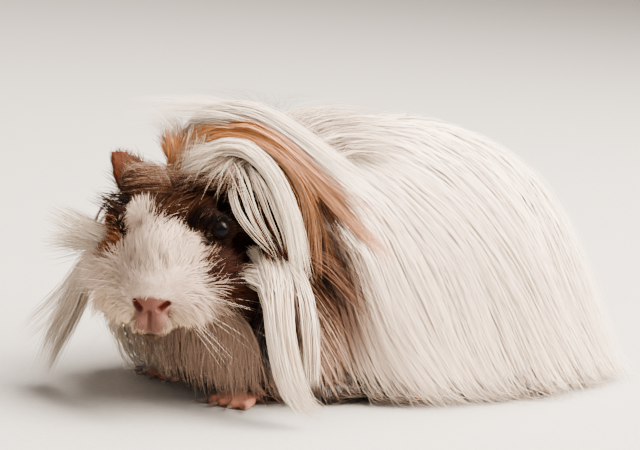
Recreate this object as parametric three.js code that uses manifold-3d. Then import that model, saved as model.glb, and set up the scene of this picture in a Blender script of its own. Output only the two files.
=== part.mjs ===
// A long-haired guinea pig at life size, crouched on a flat floor with its head turned to its left.
// Millimetres, +Z up. The body lies along Y with its rump at +Y, and the animal's left side is +X.
// Every solid is the outer form of the coat, and each named part of the body is one closed mesh.
import * as THREE from "three";
import { mergeVertices } from "three/addons/utils/BufferGeometryUtils.js";
import Module from "manifold-3d";

const wasm = await Module();
wasm.setup();

// ---------------------------------------- driving dimensions
const BACK_HEIGHT = 116; // top of the coat over the back
const BODY_LENGTH = 236; // chest to the trailing hem behind the rump
const COAT_WIDTH = 154; // across the hem
const HEAD_LENGTH = 78; // nose to nape
const HEAD_WIDTH = 64; // across the cheek fur
const HEAD_HEIGHT = 60; // jaw to crown
const HEAD_CENTRE = [28, -79, 65];
const HEAD_TURN = 48; // degrees, towards the animal's left
const HEAD_DIP = 6; // degrees, nose down
const HEAD_TILT = -2; // degrees, crown towards the animal's right where positive
const EYE_RADIUS = 4.8;
const EAR_HEIGHT = 18.5;
const EAR_WIDTH = 19.5;
const EAR_THICKNESS = 2.4;
const EAR_CUP = 5.5; // how far the ear is hollowed
const BELLY_HEIGHT = 14; // the hollow under the belly, where the legs stand
const HEM_THICKNESS = 15; // coat between that hollow and the outside
const PAW_WIDTH = 14;
const TOE_RADIUS = 2.3;
const TOE_FAN = 0.42; // radians between neighbouring toes
const TOE_REACH = 9; // how far the middle toes reach past the pad
const CLAW_LENGTH = 5.5;
const CLAW_RADIUS = 1.05;
const CLAW_LEVEL = 1.7; // height of a claw's root above the floor
const GAP = 0.3; // between neighbouring parts

// ---------------------------------------- colours
const coat = (colour) => new THREE.MeshStandardMaterial({ color: colour, roughness: 0.85, metalness: 0 });
const WHITE_COAT = coat("#ece4dd");
const BROWN_COAT = coat("#5b3a28");
const GINGER_COAT = coat("#c67b3c");
const BARE_SKIN = new THREE.MeshStandardMaterial({ color: "#c98f82", roughness: 0.6, metalness: 0 });
const EAR_SKIN = new THREE.MeshStandardMaterial({ color: "#8f5a44", roughness: 0.65, metalness: 0 });
const EYE_BLACK = new THREE.MeshStandardMaterial({ color: "#0b0809", roughness: 0.08, metalness: 0 });
const CLAW_HORN = new THREE.MeshStandardMaterial({ color: "#c9ab8e", roughness: 0.45, metalness: 0 });

// ---------------------------------------- fields
// A field gives each point a number: negative inside a form, and roughly the distance in mm.
const LEFT = 1;
const RIGHT = -1;
const along = (a, b, t) => a.map((value, i) => value + (b[i] - value) * t);

function ellipsoid(at, radii) {
  return ([x, y, z]) => {
    const u = (x - at[0]) / radii[0];
    const v = (y - at[1]) / radii[1];
    const w = (z - at[2]) / radii[2];
    const reach = Math.hypot(u, v, w);
    const slope = Math.hypot(u / radii[0], v / radii[1], w / radii[2]);
    return slope > 1e-9 ? (reach * (reach - 1)) / slope : -Math.min(...radii);
  };
}

// Joins masses with a fillet about as wide as `soften`.
function blend(soften, ...fields) {
  return (point) =>
    fields.reduce((found, field) => {
      const next = field(point);
      const mix = Math.max(soften - Math.abs(found - next), 0) / soften;
      return Math.min(found, next) - (mix * mix * soften) / 4;
    }, 1e9);
}

const grown = (field, by) => (point) => field(point) - by;

// A closed skin over a field: rays fan out from the line start-end, from one pole to the other.
function castSkin(field, start, end, rings, sides) {
  const from = new THREE.Vector3(...start);
  const axis = new THREE.Vector3(...end).sub(from).normalize();
  const upright = Math.abs(axis.z) > 0.9;
  const across = new THREE.Vector3(upright ? 1 : 0, 0, upright ? 0 : 1).cross(axis).normalize();
  const over = new THREE.Vector3().crossVectors(axis, across);
  const reach = (origin, way) => {
    let near = 0;
    let far = 1;
    const at = (t) => [origin[0] + way.x * t, origin[1] + way.y * t, origin[2] + way.z * t];
    while (field(at(far)) < 0 && far < 400) {
      near = far;
      far += 2;
    }
    for (let i = 0; i < 18; i++) {
      const middle = (near + far) / 2;
      if (field(at(middle)) < 0) near = middle;
      else far = middle;
    }
    return at(far);
  };
  const points = [];
  const faces = [];
  for (let i = 0; i <= rings; i++) {
    const polar = (Math.PI * i) / rings;
    const origin = along(start, end, (1 - Math.cos(polar)) / 2);
    const pole = i === 0 || i === rings;
    for (let j = 0; j < (pole ? 1 : sides); j++) {
      const angle = (2 * Math.PI * j) / sides;
      const way = new THREE.Vector3()
        .addScaledVector(axis, -Math.cos(polar))
        .addScaledVector(across, Math.sin(polar) * Math.cos(angle))
        .addScaledVector(over, Math.sin(polar) * Math.sin(angle));
      points.push(...reach(origin, way));
    }
  }
  const lastPole = 1 + (rings - 1) * sides;
  const index = (i, j) => {
    if (i === 0) return 0;
    return i === rings ? lastPole : 1 + (i - 1) * sides + (j % sides);
  };
  for (let i = 0; i < rings; i++)
    for (let j = 0; j < sides; j++) {
      if (i > 0) faces.push(index(i, j), index(i, j + 1), index(i + 1, j));
      if (i < rings - 1) faces.push(index(i, j + 1), index(i + 1, j + 1), index(i + 1, j));
    }
  return new THREE.BufferGeometry()
    .setAttribute("position", new THREE.Float32BufferAttribute(points, 3))
    .setIndex(faces);
}

// ---------------------------------------- solids
const moved = (x, y, z) => new THREE.Matrix4().makeTranslation(x, y, z);

function solid(geometry, matrix = new THREE.Matrix4()) {
  const placed = geometry.clone().applyMatrix4(matrix);
  placed.deleteAttribute("normal");
  placed.deleteAttribute("uv");
  const merged = mergeVertices(placed, 1e-3);
  const made = new wasm.Manifold(
    new wasm.Mesh({
      numProp: 3,
      vertProperties: merged.attributes.position.array,
      triVerts: new Uint32Array(merged.index.array),
    }),
  );
  return made.volume() < 0 ? solid(flipped(merged)) : made;
}

function flipped(geometry) {
  const turned = Array.from(geometry.index.array);
  for (let i = 0; i < turned.length; i += 3) {
    const second = turned[i + 1];
    turned[i + 1] = turned[i + 2];
    turned[i + 2] = second;
  }
  return geometry.clone().setIndex(turned);
}

// The biggest body of a cut solid, so that no crumb is left beside it.
function main(cut) {
  return cut.decompose().sort((a, b) => b.volume() - a.volume())[0];
}

const without = (from, ...cutters) => main(cutters.reduce((left, cutter) => left.subtract(cutter), from));

const BIG = 900;
const hugeBox = (matrix) => solid(new THREE.BoxGeometry(BIG, BIG, BIG), matrix);
const aboveFloor = hugeBox(moved(0, 0, BIG / 2));

function geometryOf(made) {
  const mesh = made.getMesh();
  const positions = new Float32Array(mesh.numVert * 3);
  for (let i = 0; i < mesh.numVert; i++)
    positions.set(mesh.vertProperties.subarray(i * mesh.numProp, i * mesh.numProp + 3), i * 3);
  const geometry = new THREE.BufferGeometry()
    .setAttribute("position", new THREE.BufferAttribute(positions, 3))
    .setIndex(new THREE.BufferAttribute(mesh.triVerts, 1))
    .toNonIndexed();
  geometry.computeVertexNormals();
  return geometry;
}

// ---------------------------------------- the head, in its own frame: x to the nose, y to its left, z up
const headFrame = moved(...HEAD_CENTRE).multiply(
  new THREE.Matrix4().makeRotationFromEuler(
    new THREE.Euler(
      THREE.MathUtils.degToRad(-HEAD_TILT),
      THREE.MathUtils.degToRad(HEAD_DIP),
      THREE.MathUtils.degToRad(HEAD_TURN - 90),
      "ZYX",
    ),
  ),
);
const headPart = (x, y, z) => [x * HEAD_LENGTH, y * HEAD_WIDTH, z * HEAD_HEIGHT];

const NOSE_TIP = headPart(0.55, 0, -0.2);
const EYE = headPart(0.12, 0.325, 0.18);
const EAR_BASE = headPart(-0.2, 0.3, 0.33);
const mirrored = ([x, y, z], side) => [x, y * side, z];

// A mass of the head, or two where it stands off the midline.
const headMass = (x, y, z, length, width, height) =>
  (y ? [LEFT, RIGHT] : [LEFT]).map((side) =>
    ellipsoid(headPart(x, y * side, z), [length * HEAD_LENGTH, width * HEAD_WIDTH, height * HEAD_HEIGHT]),
  );

const headField = blend(
  9,
  ...headMass(-0.14, 0, 0.05, 0.4, 0.42, 0.41), // cranium
  ...headMass(0.06, 0.22, -0.17, 0.31, 0.27, 0.3), // cheeks
  ...headMass(0.18, 0, 0.0, 0.31, 0.24, 0.25), // bridge of the nose
  ...headMass(0.3, 0, -0.16, 0.25, 0.27, 0.24), // muzzle
  ...headMass(0.34, 0.15, -0.25, 0.16, 0.17, 0.17), // whisker pads
  ...headMass(0.24, 0, -0.4, 0.23, 0.2, 0.13), // lower jaw
  ...headMass(0.06, 0.22, 0.24, 0.15, 0.12, 0.11), // brows
);

function headSkin(by, rings, sides) {
  const skin = castSkin(grown(headField, by), headPart(-0.25, 0, 0), headPart(0.3, 0, -0.14), rings, sides);
  return solid(skin, headFrame);
}

// ---------------------------------------- face
const NOSE_PAD = [5.5, 9, 6.2];
const PHILTRUM = [3.6, 2.6, 6];
const NOSTRIL = [4.5, 3, 1.5];
const behindNose = (back, below) => [NOSE_TIP[0] - back, 0, NOSE_TIP[2] - below];

function nosePad(by) {
  const pad = blend(3, ellipsoid(behindNose(3.8, 0), NOSE_PAD), ellipsoid(behindNose(6, 6.5), PHILTRUM));
  return solid(castSkin(grown(pad, by), behindNose(5, -1), behindNose(5, 6), 12, 12), headFrame);
}

function nostril(side) {
  const shape = new THREE.SphereGeometry(1, 10, 6);
  const slot = moved(NOSE_TIP[0] - 0.1, side * 5.4, NOSE_TIP[2] + 0.6)
    .multiply(new THREE.Matrix4().makeRotationX(side * 0.55))
    .multiply(new THREE.Matrix4().makeScale(...NOSTRIL));
  return solid(shape, headFrame.clone().multiply(slot));
}

function eyeball(side, by) {
  const ball = new THREE.SphereGeometry(EYE_RADIUS + by, 14, 8);
  return solid(ball, headFrame.clone().multiply(moved(...mirrored(EYE, side))));
}

// An ear is a bowed petal: a thin shell whose rim is a rounded leaf, cupped about its length.
function ear(side, by) {
  const rows = 6;
  const columns = 6;
  const half = EAR_THICKNESS / 2 + by;
  const points = [];
  const faces = [];
  const place = (u, v, depth) => {
    const x = v * ((EAR_WIDTH / 2) * Math.sin(Math.PI * (0.2 + 0.74 * u)) ** 0.75 + by);
    const z = u * (EAR_HEIGHT + 2 * by) - by;
    const rise = z / EAR_HEIGHT;
    const cup = EAR_CUP * (1 - ((2 * x) / EAR_WIDTH) ** 2) * (0.4 + 0.6 * rise);
    return [x - 2 * rise * rise, depth - cup - 5 * rise * rise, z];
  };
  for (const depth of [half, -half])
    for (let i = 0; i <= rows; i++)
      for (let j = 0; j <= columns; j++) points.push(...place(i / rows, (2 * j) / columns - 1, depth));
  const at = (face, i, j) => face * (rows + 1) * (columns + 1) + i * (columns + 1) + j;
  const quad = (a, b, c, d) => faces.push(a, b, c, a, c, d);
  for (let i = 0; i < rows; i++)
    for (let j = 0; j < columns; j++) {
      quad(at(0, i, j), at(0, i + 1, j), at(0, i + 1, j + 1), at(0, i, j + 1));
      quad(at(1, i, j), at(1, i, j + 1), at(1, i + 1, j + 1), at(1, i + 1, j));
    }
  for (let i = 0; i < rows; i++) {
    quad(at(0, i, 0), at(1, i, 0), at(1, i + 1, 0), at(0, i + 1, 0));
    quad(at(0, i, columns), at(0, i + 1, columns), at(1, i + 1, columns), at(1, i, columns));
  }
  for (let j = 0; j < columns; j++) {
    quad(at(0, 0, j), at(0, 0, j + 1), at(1, 0, j + 1), at(1, 0, j));
    quad(at(0, rows, j), at(1, rows, j), at(1, rows, j + 1), at(0, rows, j + 1));
  }
  const petal = new THREE.BufferGeometry()
    .setAttribute("position", new THREE.Float32BufferAttribute(points, 3))
    .setIndex(faces);
  const lean = new THREE.Euler(side * -0.35, -0.12, side * 0.62, "ZYX");
  const stand = moved(...mirrored(EAR_BASE, side))
    .multiply(new THREE.Matrix4().makeRotationFromEuler(lean))
    .multiply(new THREE.Matrix4().makeScale(1, -side, 1));
  return solid(petal, headFrame.clone().multiply(stand));
}

// ---------------------------------------- trunk
const CHEST_Y = -62;
const PARTING_Y = -30; // where the plane between neck and trunk crosses the midline
const PARTING_SLANT = 0.35; // the plane runs back towards the animal's left by this slope
const DOME_SHIFT = -13; // the dome of the back lies this far ahead of the hem's middle
const PLAN_POWER = 2.25; // seen from above, between an oval (2) and a rectangle
const bodyPart = (x, y, z) => [x * COAT_WIDTH, CHEST_Y + y * BODY_LENGTH, z * BACK_HEIGHT];
const bodyMass = (x, y, z, width, length, height) =>
  ellipsoid(bodyPart(x, y, z), [width * COAT_WIDTH, length * BODY_LENGTH, height * BACK_HEIGHT]);

// The long coat hangs like a bell: an oval at each level, domed over the back and flared at the hem.
function bell([x, y, z]) {
  const level = THREE.MathUtils.clamp(z / BACK_HEIGHT, 0, 1);
  const hang = (1 - level) ** 2;
  const spread = 0.88 * (1 - level ** 2) ** 0.43 + 0.12 * (1 - level) ** 6;
  const half = COAT_WIDTH / 2;
  const length = BODY_LENGTH / 2;
  const middle = CHEST_Y + length + (1 - hang) * DOME_SHIFT;
  const across = Math.abs(x / half);
  const lengthways = Math.abs((y - middle) / length);
  const angle = Math.atan2(x / half, (y - middle) / length);
  const locks = 1 + hang * (0.02 * Math.sin(11 * angle + 0.7) + 0.01 * Math.sin(23 * angle));
  const oval = (across ** PLAN_POWER + lengthways ** PLAN_POWER) ** (1 / PLAN_POWER) / locks;
  return Math.max((oval - spread) * half, z - BACK_HEIGHT);
}

const trunkField = blend(
  20,
  bell,
  bodyMass(0, 0.2, 0.5, 0.36, 0.2, 0.4), // shoulders
  bodyMass(0, 0.45, 0.5, 0.36, 0.26, 0.43), // barrel
);

// The hollow under the belly, open to the floor, with the coat hanging round it.
function bellyHollow() {
  const dome = new THREE.SphereGeometry(1, 20, 12);
  const size = [COAT_WIDTH * 0.45 - HEM_THICKNESS, 0.43 * BODY_LENGTH, BELLY_HEIGHT];
  return solid(dome, moved(...bodyPart(0, 0.45, 0)).multiply(new THREE.Matrix4().makeScale(...size)));
}

// ---------------------------------------- neck and the long hair that hangs from the head
const neckField = blend(
  18,
  ellipsoid([10, -50, 60], [44, 28, 46]), // collar
  ellipsoid([-24, -69, 51], [25, 22, 35]), // ruff on the right
  ellipsoid([50, -40, 50], [22, 20, 34]), // ruff on the left
  ellipsoid([34, -40, 76], [32, 24, 24]), // nape
  ellipsoid([18, -60, 27], [38, 24, 27]), // bib under the chin
);

// The body's coat is one surface. A slanted plane behind the shoulders parts it into neck and trunk.
const bodyField = blend(12, trunkField, neckField);
const trunkSkin = solid(castSkin(bodyField, bodyPart(0, 0.26, 0.36), bodyPart(0, 0.66, 0.34), 24, 40));
const neckSkin = solid(castSkin(bodyField, [-8, -56, 52], [34, -48, 52], 18, 26));
const slanted = new THREE.Matrix4().makeRotationZ(Math.atan(PARTING_SLANT));
const besideParting = (side) =>
  hugeBox(moved(0, PARTING_Y, 0).multiply(slanted).multiply(moved(0, (side * (BIG + GAP)) / 2, 0)));
const aheadOfParting = besideParting(-1);
const behindParting = besideParting(1);

// A hanging lock: an oval section swept down a curve, pinched at the root and at the tip.
function lock(points, width, thickness, lift, by) {
  const curve = new THREE.CatmullRomCurve3(points.map((p) => new THREE.Vector3(...p)));
  const rings = 10;
  const sides = 10;
  const positions = [];
  const faces = [];
  const facing = new THREE.Vector3(...lift).normalize();
  for (let i = 0; i <= rings; i++) {
    const t = i / rings;
    const centre = curve.getPoint(t);
    const way = curve.getTangent(t);
    const out = facing.clone().addScaledVector(way, -facing.dot(way)).normalize();
    const side = new THREE.Vector3().crossVectors(way, out);
    const full = Math.sin(Math.PI * (0.06 + 0.91 * t ** 0.8)) ** 0.7;
    for (let j = 0; j < sides; j++) {
      const angle = (2 * Math.PI * j) / sides;
      const section = centre
        .clone()
        .addScaledVector(side, (width * full + by) * Math.cos(angle))
        .addScaledVector(out, (thickness * full + by) * Math.sin(angle));
      positions.push(...section.toArray());
    }
  }
  for (const end of [0, rings]) {
    const way = curve.getTangent(end / rings).multiplyScalar(end ? by + 1 : -by - 1);
    positions.push(...curve.getPoint(end / rings).add(way).toArray());
  }
  const at = (i, j) => i * sides + (j % sides);
  const root = (rings + 1) * sides;
  for (let j = 0; j < sides; j++) {
    for (let i = 0; i < rings; i++)
      faces.push(at(i, j), at(i, j + 1), at(i + 1, j + 1), at(i, j), at(i + 1, j + 1), at(i + 1, j));
    faces.push(root, at(0, j + 1), at(0, j), root + 1, at(rings, j), at(rings, j + 1));
  }
  return solid(
    new THREE.BufferGeometry()
      .setAttribute("position", new THREE.Float32BufferAttribute(positions, 3))
      .setIndex(faces),
  );
}

// The swept-over mantle of crown hair, and the two front locks of the cheeks.
const MANTLE_PATH = [[10, -88, 101], [23, -67, 106], [39, -39, 104], [60, -13, 87], [74, 2, 62]];
const LEFT_LOCK_PATH = [[60, -56, 70], [74, -56, 54], [82, -50, 30], [86, -42, 4]];
const RIGHT_LOCK_PATH = [[4, -92, 66], [-6, -102, 50], [-11, -108, 28], [-14, -110, 6]];
const mantle = (by) => lock(MANTLE_PATH, 22, 13, [0.35, -0.2, 1], by);
const leftLock = (by) => lock(LEFT_LOCK_PATH, 11, 6.5, [1, -0.35, 0], by);
const rightLock = (by) => lock(RIGHT_LOCK_PATH, 9, 5.5, [-0.6, -1, 0], by);

// ---------------------------------------- legs
function capsule(a, b, radius, sides = 8) {
  const from = new THREE.Vector3(...a);
  const to = new THREE.Vector3(...b);
  const way = to.clone().sub(from);
  const upright = new THREE.Vector3(0, 1, 0);
  const turn = new THREE.Quaternion().setFromUnitVectors(upright, way.clone().normalize());
  const middle = from.add(to).multiplyScalar(0.5);
  const place = new THREE.Matrix4().compose(middle, turn, new THREE.Vector3(1, 1, 1));
  return solid(new THREE.CapsuleGeometry(radius, way.length(), 1, sides), place);
}

// A point of a foot: so far ahead of its middle, so far to the side, at a height.
const footPoint = ({ foot, heading }, forward, aside, z) => [
  foot[0] + Math.sin(heading) * forward + Math.cos(heading) * aside,
  foot[1] - Math.cos(heading) * forward + Math.sin(heading) * aside,
  z,
];

// A toe's turn from the foot's heading, and where its end lies.
function toe({ toes, footLength }, i) {
  const spread = (i - (toes - 1) / 2) * TOE_FAN;
  const reach = footLength / 2 + TOE_REACH - Math.abs(spread) * 3;
  return { spread, reach, aside: spread * reach * 0.95 };
}

// A leg: a stump from the belly to a padded foot, with toes fanned out at the front. Its sole is flat.
function leg(shape, by) {
  const pad = PAW_WIDTH / 2;
  const half = shape.footLength / 2;
  const heel = footPoint(shape, -half, 0, 0);
  const parts = [
    capsule(shape.hip, [heel[0], heel[1], pad * 0.7], pad + by),
    capsule([heel[0], heel[1], 4], footPoint(shape, half, 0, 3.4), 5 + by),
  ];
  for (let i = 0; i < shape.toes; i++) {
    const { spread, reach, aside } = toe(shape, i);
    const knuckle = footPoint(shape, half - 2, spread * 9, 2.6);
    parts.push(capsule(knuckle, footPoint(shape, reach, aside, TOE_RADIUS * 0.8), TOE_RADIUS + by, 6));
  }
  return main(parts.reduce((all, part) => all.add(part)).intersect(aboveFloor));
}

// A claw: a short cone past the toe, bent down a little and clear of the floor.
function claw(shape, i, by) {
  const { spread, reach, aside } = toe(shape, i);
  const place = moved(...footPoint(shape, reach, aside, CLAW_LEVEL))
    .multiply(new THREE.Matrix4().makeRotationZ(shape.heading + spread))
    .multiply(moved(0, -(TOE_RADIUS + GAP + CLAW_LENGTH / 2), 0))
    .multiply(new THREE.Matrix4().makeRotationX(Math.PI + 0.08));
  return solid(new THREE.ConeGeometry(CLAW_RADIUS + by, CLAW_LENGTH + 2 * by, 6), place);
}

const LEGS = {
  front_left: { hip: [34, -40, 24], foot: [38, -45, 0], heading: 0.45, toes: 4, footLength: 12 },
  front_right: { hip: [-10, -40, 24], foot: [-10, -46, 0], heading: 0.1, toes: 4, footLength: 12 },
  hind_left: { hip: [38, 62, 24], foot: [42, 50, 0], heading: 0.18, toes: 3, footLength: 34 },
  hind_right: { hip: [-38, 62, 24], foot: [-42, 50, 0], heading: -0.18, toes: 3, footLength: 34 },
};

// ---------------------------------------- assembly
const model = new THREE.Group();
function add(name, made, material) {
  const mesh = new THREE.Mesh(geometryOf(made), material);
  mesh.name = name;
  model.add(mesh);
}

const sides = { left: LEFT, right: RIGHT };
const clawsOf = (shape, by) => Array.from({ length: shape.toes }, (_, i) => claw(shape, i, by));
const legGaps = Object.values(LEGS).flatMap((shape) => [leg(shape, GAP), ...clawsOf(shape, GAP)]);
const earGaps = Object.values(sides).map((side) => ear(side, GAP));
const eyeGaps = Object.values(sides).map((side) => eyeball(side, GAP));
const nostrils = Object.values(sides).map((side) => nostril(side));
const headGap = headSkin(3 * GAP, 16, 24); // coarser, so it stands off further to stay clear of the head
const lockGaps = [leftLock(GAP), rightLock(GAP)];
const mantleGap = mantle(2 * GAP);
const belly = bellyHollow();

add("head", without(headSkin(0, 20, 32), nosePad(GAP), ...eyeGaps, ...earGaps), BROWN_COAT);
add("nose", without(nosePad(0), ...nostrils), BARE_SKIN);
for (const [name, side] of Object.entries(sides)) {
  add(`eye_${name}`, eyeball(side, 0), EYE_BLACK);
  add(`ear_${name}`, ear(side, 0), EAR_SKIN);
}
add("mantle", without(mantle(0), headGap, ...earGaps), GINGER_COAT);
add("lock_left", without(leftLock(0), headGap, mantleGap, ...earGaps).intersect(aboveFloor), WHITE_COAT);
add("lock_right", without(rightLock(0), headGap, mantleGap, ...earGaps).intersect(aboveFloor), WHITE_COAT);
add(
  "neck",
  without(
    neckSkin.intersect(aboveFloor).intersect(aheadOfParting),
    headGap,
    nosePad(GAP),
    ...eyeGaps,
    mantleGap,
    ...earGaps,
    ...lockGaps,
    belly,
    ...legGaps,
  ),
  BROWN_COAT,
);
add(
  "trunk",
  without(
    trunkSkin.intersect(aboveFloor).intersect(behindParting),
    headGap,
    mantleGap,
    ...earGaps,
    ...lockGaps,
    belly,
    ...legGaps,
  ),
  WHITE_COAT,
);
for (const [name, shape] of Object.entries(LEGS)) {
  add(`leg_${name}`, leg(shape, 0), BARE_SKIN);
  clawsOf(shape, 0).forEach((made, i) => add(`claw_${name}_${i + 1}`, made, CLAW_HORN));
}

// The origin is the middle of the footprint, on the floor.
const box = new THREE.Box3().setFromObject(model);
model.position.set(-(box.min.x + box.max.x) / 2, -(box.min.y + box.max.y) / 2, -box.min.z);

export default model;
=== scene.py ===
import math

import bpy
import numpy as np
from mathutils import Euler, Matrix, Vector
from mathutils.bvhtree import BVHTree


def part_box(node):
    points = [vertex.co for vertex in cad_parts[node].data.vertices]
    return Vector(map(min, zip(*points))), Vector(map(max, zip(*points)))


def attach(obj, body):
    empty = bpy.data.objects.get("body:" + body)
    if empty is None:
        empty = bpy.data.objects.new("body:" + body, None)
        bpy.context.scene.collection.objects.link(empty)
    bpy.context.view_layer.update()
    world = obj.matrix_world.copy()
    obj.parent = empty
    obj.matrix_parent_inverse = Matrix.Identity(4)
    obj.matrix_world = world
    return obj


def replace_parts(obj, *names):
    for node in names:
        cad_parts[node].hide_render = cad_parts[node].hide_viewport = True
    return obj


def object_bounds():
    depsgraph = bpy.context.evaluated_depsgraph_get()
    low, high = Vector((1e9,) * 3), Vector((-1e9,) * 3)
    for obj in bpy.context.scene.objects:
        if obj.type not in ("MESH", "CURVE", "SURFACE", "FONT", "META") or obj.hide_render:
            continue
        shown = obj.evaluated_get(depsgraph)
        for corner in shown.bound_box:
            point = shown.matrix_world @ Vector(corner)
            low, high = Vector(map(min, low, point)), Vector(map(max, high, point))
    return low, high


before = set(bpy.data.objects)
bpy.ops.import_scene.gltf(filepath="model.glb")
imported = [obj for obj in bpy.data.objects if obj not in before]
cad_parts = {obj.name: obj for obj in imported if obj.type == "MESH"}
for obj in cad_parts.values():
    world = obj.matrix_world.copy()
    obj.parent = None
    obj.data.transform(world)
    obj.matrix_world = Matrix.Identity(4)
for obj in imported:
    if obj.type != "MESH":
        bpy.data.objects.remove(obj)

cad_box = [list(corner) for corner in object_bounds()]

# The long-haired guinea pig: one skin, its hair as solid slivers, two eyes, whiskers and claws.
# Lengths are in millimetres until a mesh is made. +Z is up and the animal's left side is +X.
MM = 0.001
THRIFT = 1.0  # the share of the hair that a quick try grows
draw = np.random.default_rng(20)


# ------------------------------------------------------------------ places taken from the frame
def box(node):
    low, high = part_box(node)
    return np.array(low) / MM, np.array(high) / MM


def middle(node):
    low, high = box(node)
    return (low + high) / 2


HEAD_TURN = -42  # degrees about Z: the nose points ahead and to the animal's left
HEAD_DIP = 6
HEAD_TILT = 2
EYE_AHEAD, EYE_ASIDE, EYE_ABOVE = 9.4, 20.8, 10.8  # an eye's centre in the head's own frame
EYE_RADIUS = 4.8
head_axes = np.array(
    Euler((math.radians(HEAD_TILT), math.radians(HEAD_DIP), math.radians(HEAD_TURN))).to_matrix()
)
between_eyes = (middle("eye_left") + middle("eye_right")) / 2
head_centre = between_eyes - head_axes @ np.array([EYE_AHEAD, 0, EYE_ABOVE])


def from_head(points):
    """Head frame (ahead, to its left, up) to the object's frame."""
    return np.asarray(points, float) @ head_axes.T + head_centre


def to_head(points):
    return (np.asarray(points, float) - head_centre) @ head_axes


def eye_place(side):
    """An eye's centre in the head's frame: side is 1 for the left eye and -1 for the right."""
    return np.array([EYE_AHEAD, EYE_ASIDE * side, EYE_ABOVE])


def eye_gap(h, side):
    return np.linalg.norm(h - eye_place(side), axis=1)


trunk_low, trunk_high = box("trunk")
SPINE_X = (trunk_low[0] + trunk_high[0]) / 2 + 0.5
BACK_Z = trunk_high[2]
HAIR_LOW = np.array(cad_box[0]) / MM + [-4, -5, 0]  # loose hair that goes past these corners
HAIR_HIGH = np.array(cad_box[1]) / MM + [3, 4, 6]  # is drawn back by HAIR_BACK of its way
HAIR_BACK = 0.75
NOSE = to_head(middle("nose"))


# ------------------------------------------------------------------ small sums on arrays
def unit(v):
    return v / np.maximum(np.linalg.norm(v, axis=-1, keepdims=True), 1e-9)


def dot(a, b):
    return (a * b).sum(axis=-1, keepdims=True)


def ease(low, high, x):
    """0 below low, 1 above high, smooth between."""
    t = np.clip((x - low) / (high - low), 0, 1)
    return t * t * (3 - 2 * t)


def mix(a, b, share):
    return a + (b - a) * share


def curve(points, samples):
    """A smooth line through the points, at this many even steps."""
    pts = np.asarray(points, float)
    pts = np.vstack([2 * pts[0] - pts[1], pts, 2 * pts[-1] - pts[-2]])
    at = np.linspace(0, len(pts) - 3 - 1e-6, 120)
    k = at.astype(int)
    t = (at - k)[:, None]
    a, b, c, d = pts[k], pts[k + 1], pts[k + 2], pts[k + 3]
    line = 0.5 * (2 * b + (c - a) * t + (2 * a - 5 * b + 4 * c - d) * t**2 + (3 * b - a - 3 * c + d) * t**3)
    run = np.concatenate([[0], np.cumsum(np.linalg.norm(np.diff(line, axis=0), axis=1))])
    even = np.linspace(0, run[-1], samples)
    return np.column_stack([np.interp(even, run, line[:, i]) for i in range(3)])


# ------------------------------------------------------------------ the markings
WHITE = np.array([0.90, 0.72, 0.57])
CREAM = np.array([0.78, 0.57, 0.36])
BEIGE = np.array([0.42, 0.285, 0.205])
TAUPE = np.array([0.135, 0.072, 0.048])
BROWN = np.array([0.030, 0.0105, 0.005])
SOOT = np.array([0.006, 0.0035, 0.003])
RUST = np.array([0.14, 0.042, 0.014])
GINGER = np.array([0.56, 0.21, 0.06])
NOSE_PINK = np.array([0.13, 0.056, 0.044])
EAR_BROWN = np.array([0.06, 0.015, 0.0045])
FOOT_PINK = np.array([0.50, 0.20, 0.135])
# painted shade under the chin and on the chest below the head
PAINTED_SHADE_UNDER_CHIN = np.array([0.17, 0.105, 0.074])
LIP_FUZZ = np.array([0.15, 0.085, 0.066])
# the face's pinker white with painted shade in it, and the painted shade of its left side
FACE_PINK_AND_SHADE = np.array([0.56, 0.405, 0.315])
FACE_PAINTED_SHADE = np.array([0.38, 0.265, 0.20])
# painted shade in the nostril openings
NOSTRIL_SHADE = np.array([0.10, 0.015, 0.012])
EYE_DARK = np.array([0.004, 0.003, 0.003])
IRIS = np.array([0.007, 0.004, 0.003])
PUPIL = np.array([0.002, 0.002, 0.003])
CLAW_HORN = (0.17, 0.10, 0.07)
FLOOR_GREY = (0.46, 0.435, 0.41)
ROOM_LIGHT = (0.88, 0.83, 0.77, 1)
SKIN_DIM = 0.8  # the skin's markings are this much darker than the coat over them


def head_share(points):
    """1 on the head, 0 on neck and body."""
    h = to_head(points)
    return ease(-22, -14, h[:, 0]) * ease(1.12, 1.0, np.linalg.norm((h - [6, 0, -3]) / [48, 39, 36], axis=1))


# the lower edge of the brown, from the blaze down the left cheek: how far left, and how high there
BROWN_EDGE = [-7, 5, 12, 15, 20, 22, 25, 27.5, 31, 35], [17, 15, 10, 7, 1, -4, -11, -19, -27, -36]


def brown_depth(h):
    """How deep inside the brown of forehead and left cheek a place of the head lies, in mm."""
    ahead, left, up = h[:, 0], h[:, 1], h[:, 2]
    border = np.interp(left, *BROWN_EDGE)
    slope = np.interp(left + 0.5, *BROWN_EDGE) - np.interp(left - 0.5, *BROWN_EDGE)
    above = (up - border) / np.sqrt(1 + slope**2)
    beside_blaze = np.minimum(above, left + 7.5)
    behind_blaze = np.minimum(3.5 - ahead, up - 2 + 50 * (left > 0))
    return np.maximum(beside_blaze, behind_blaze)


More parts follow.
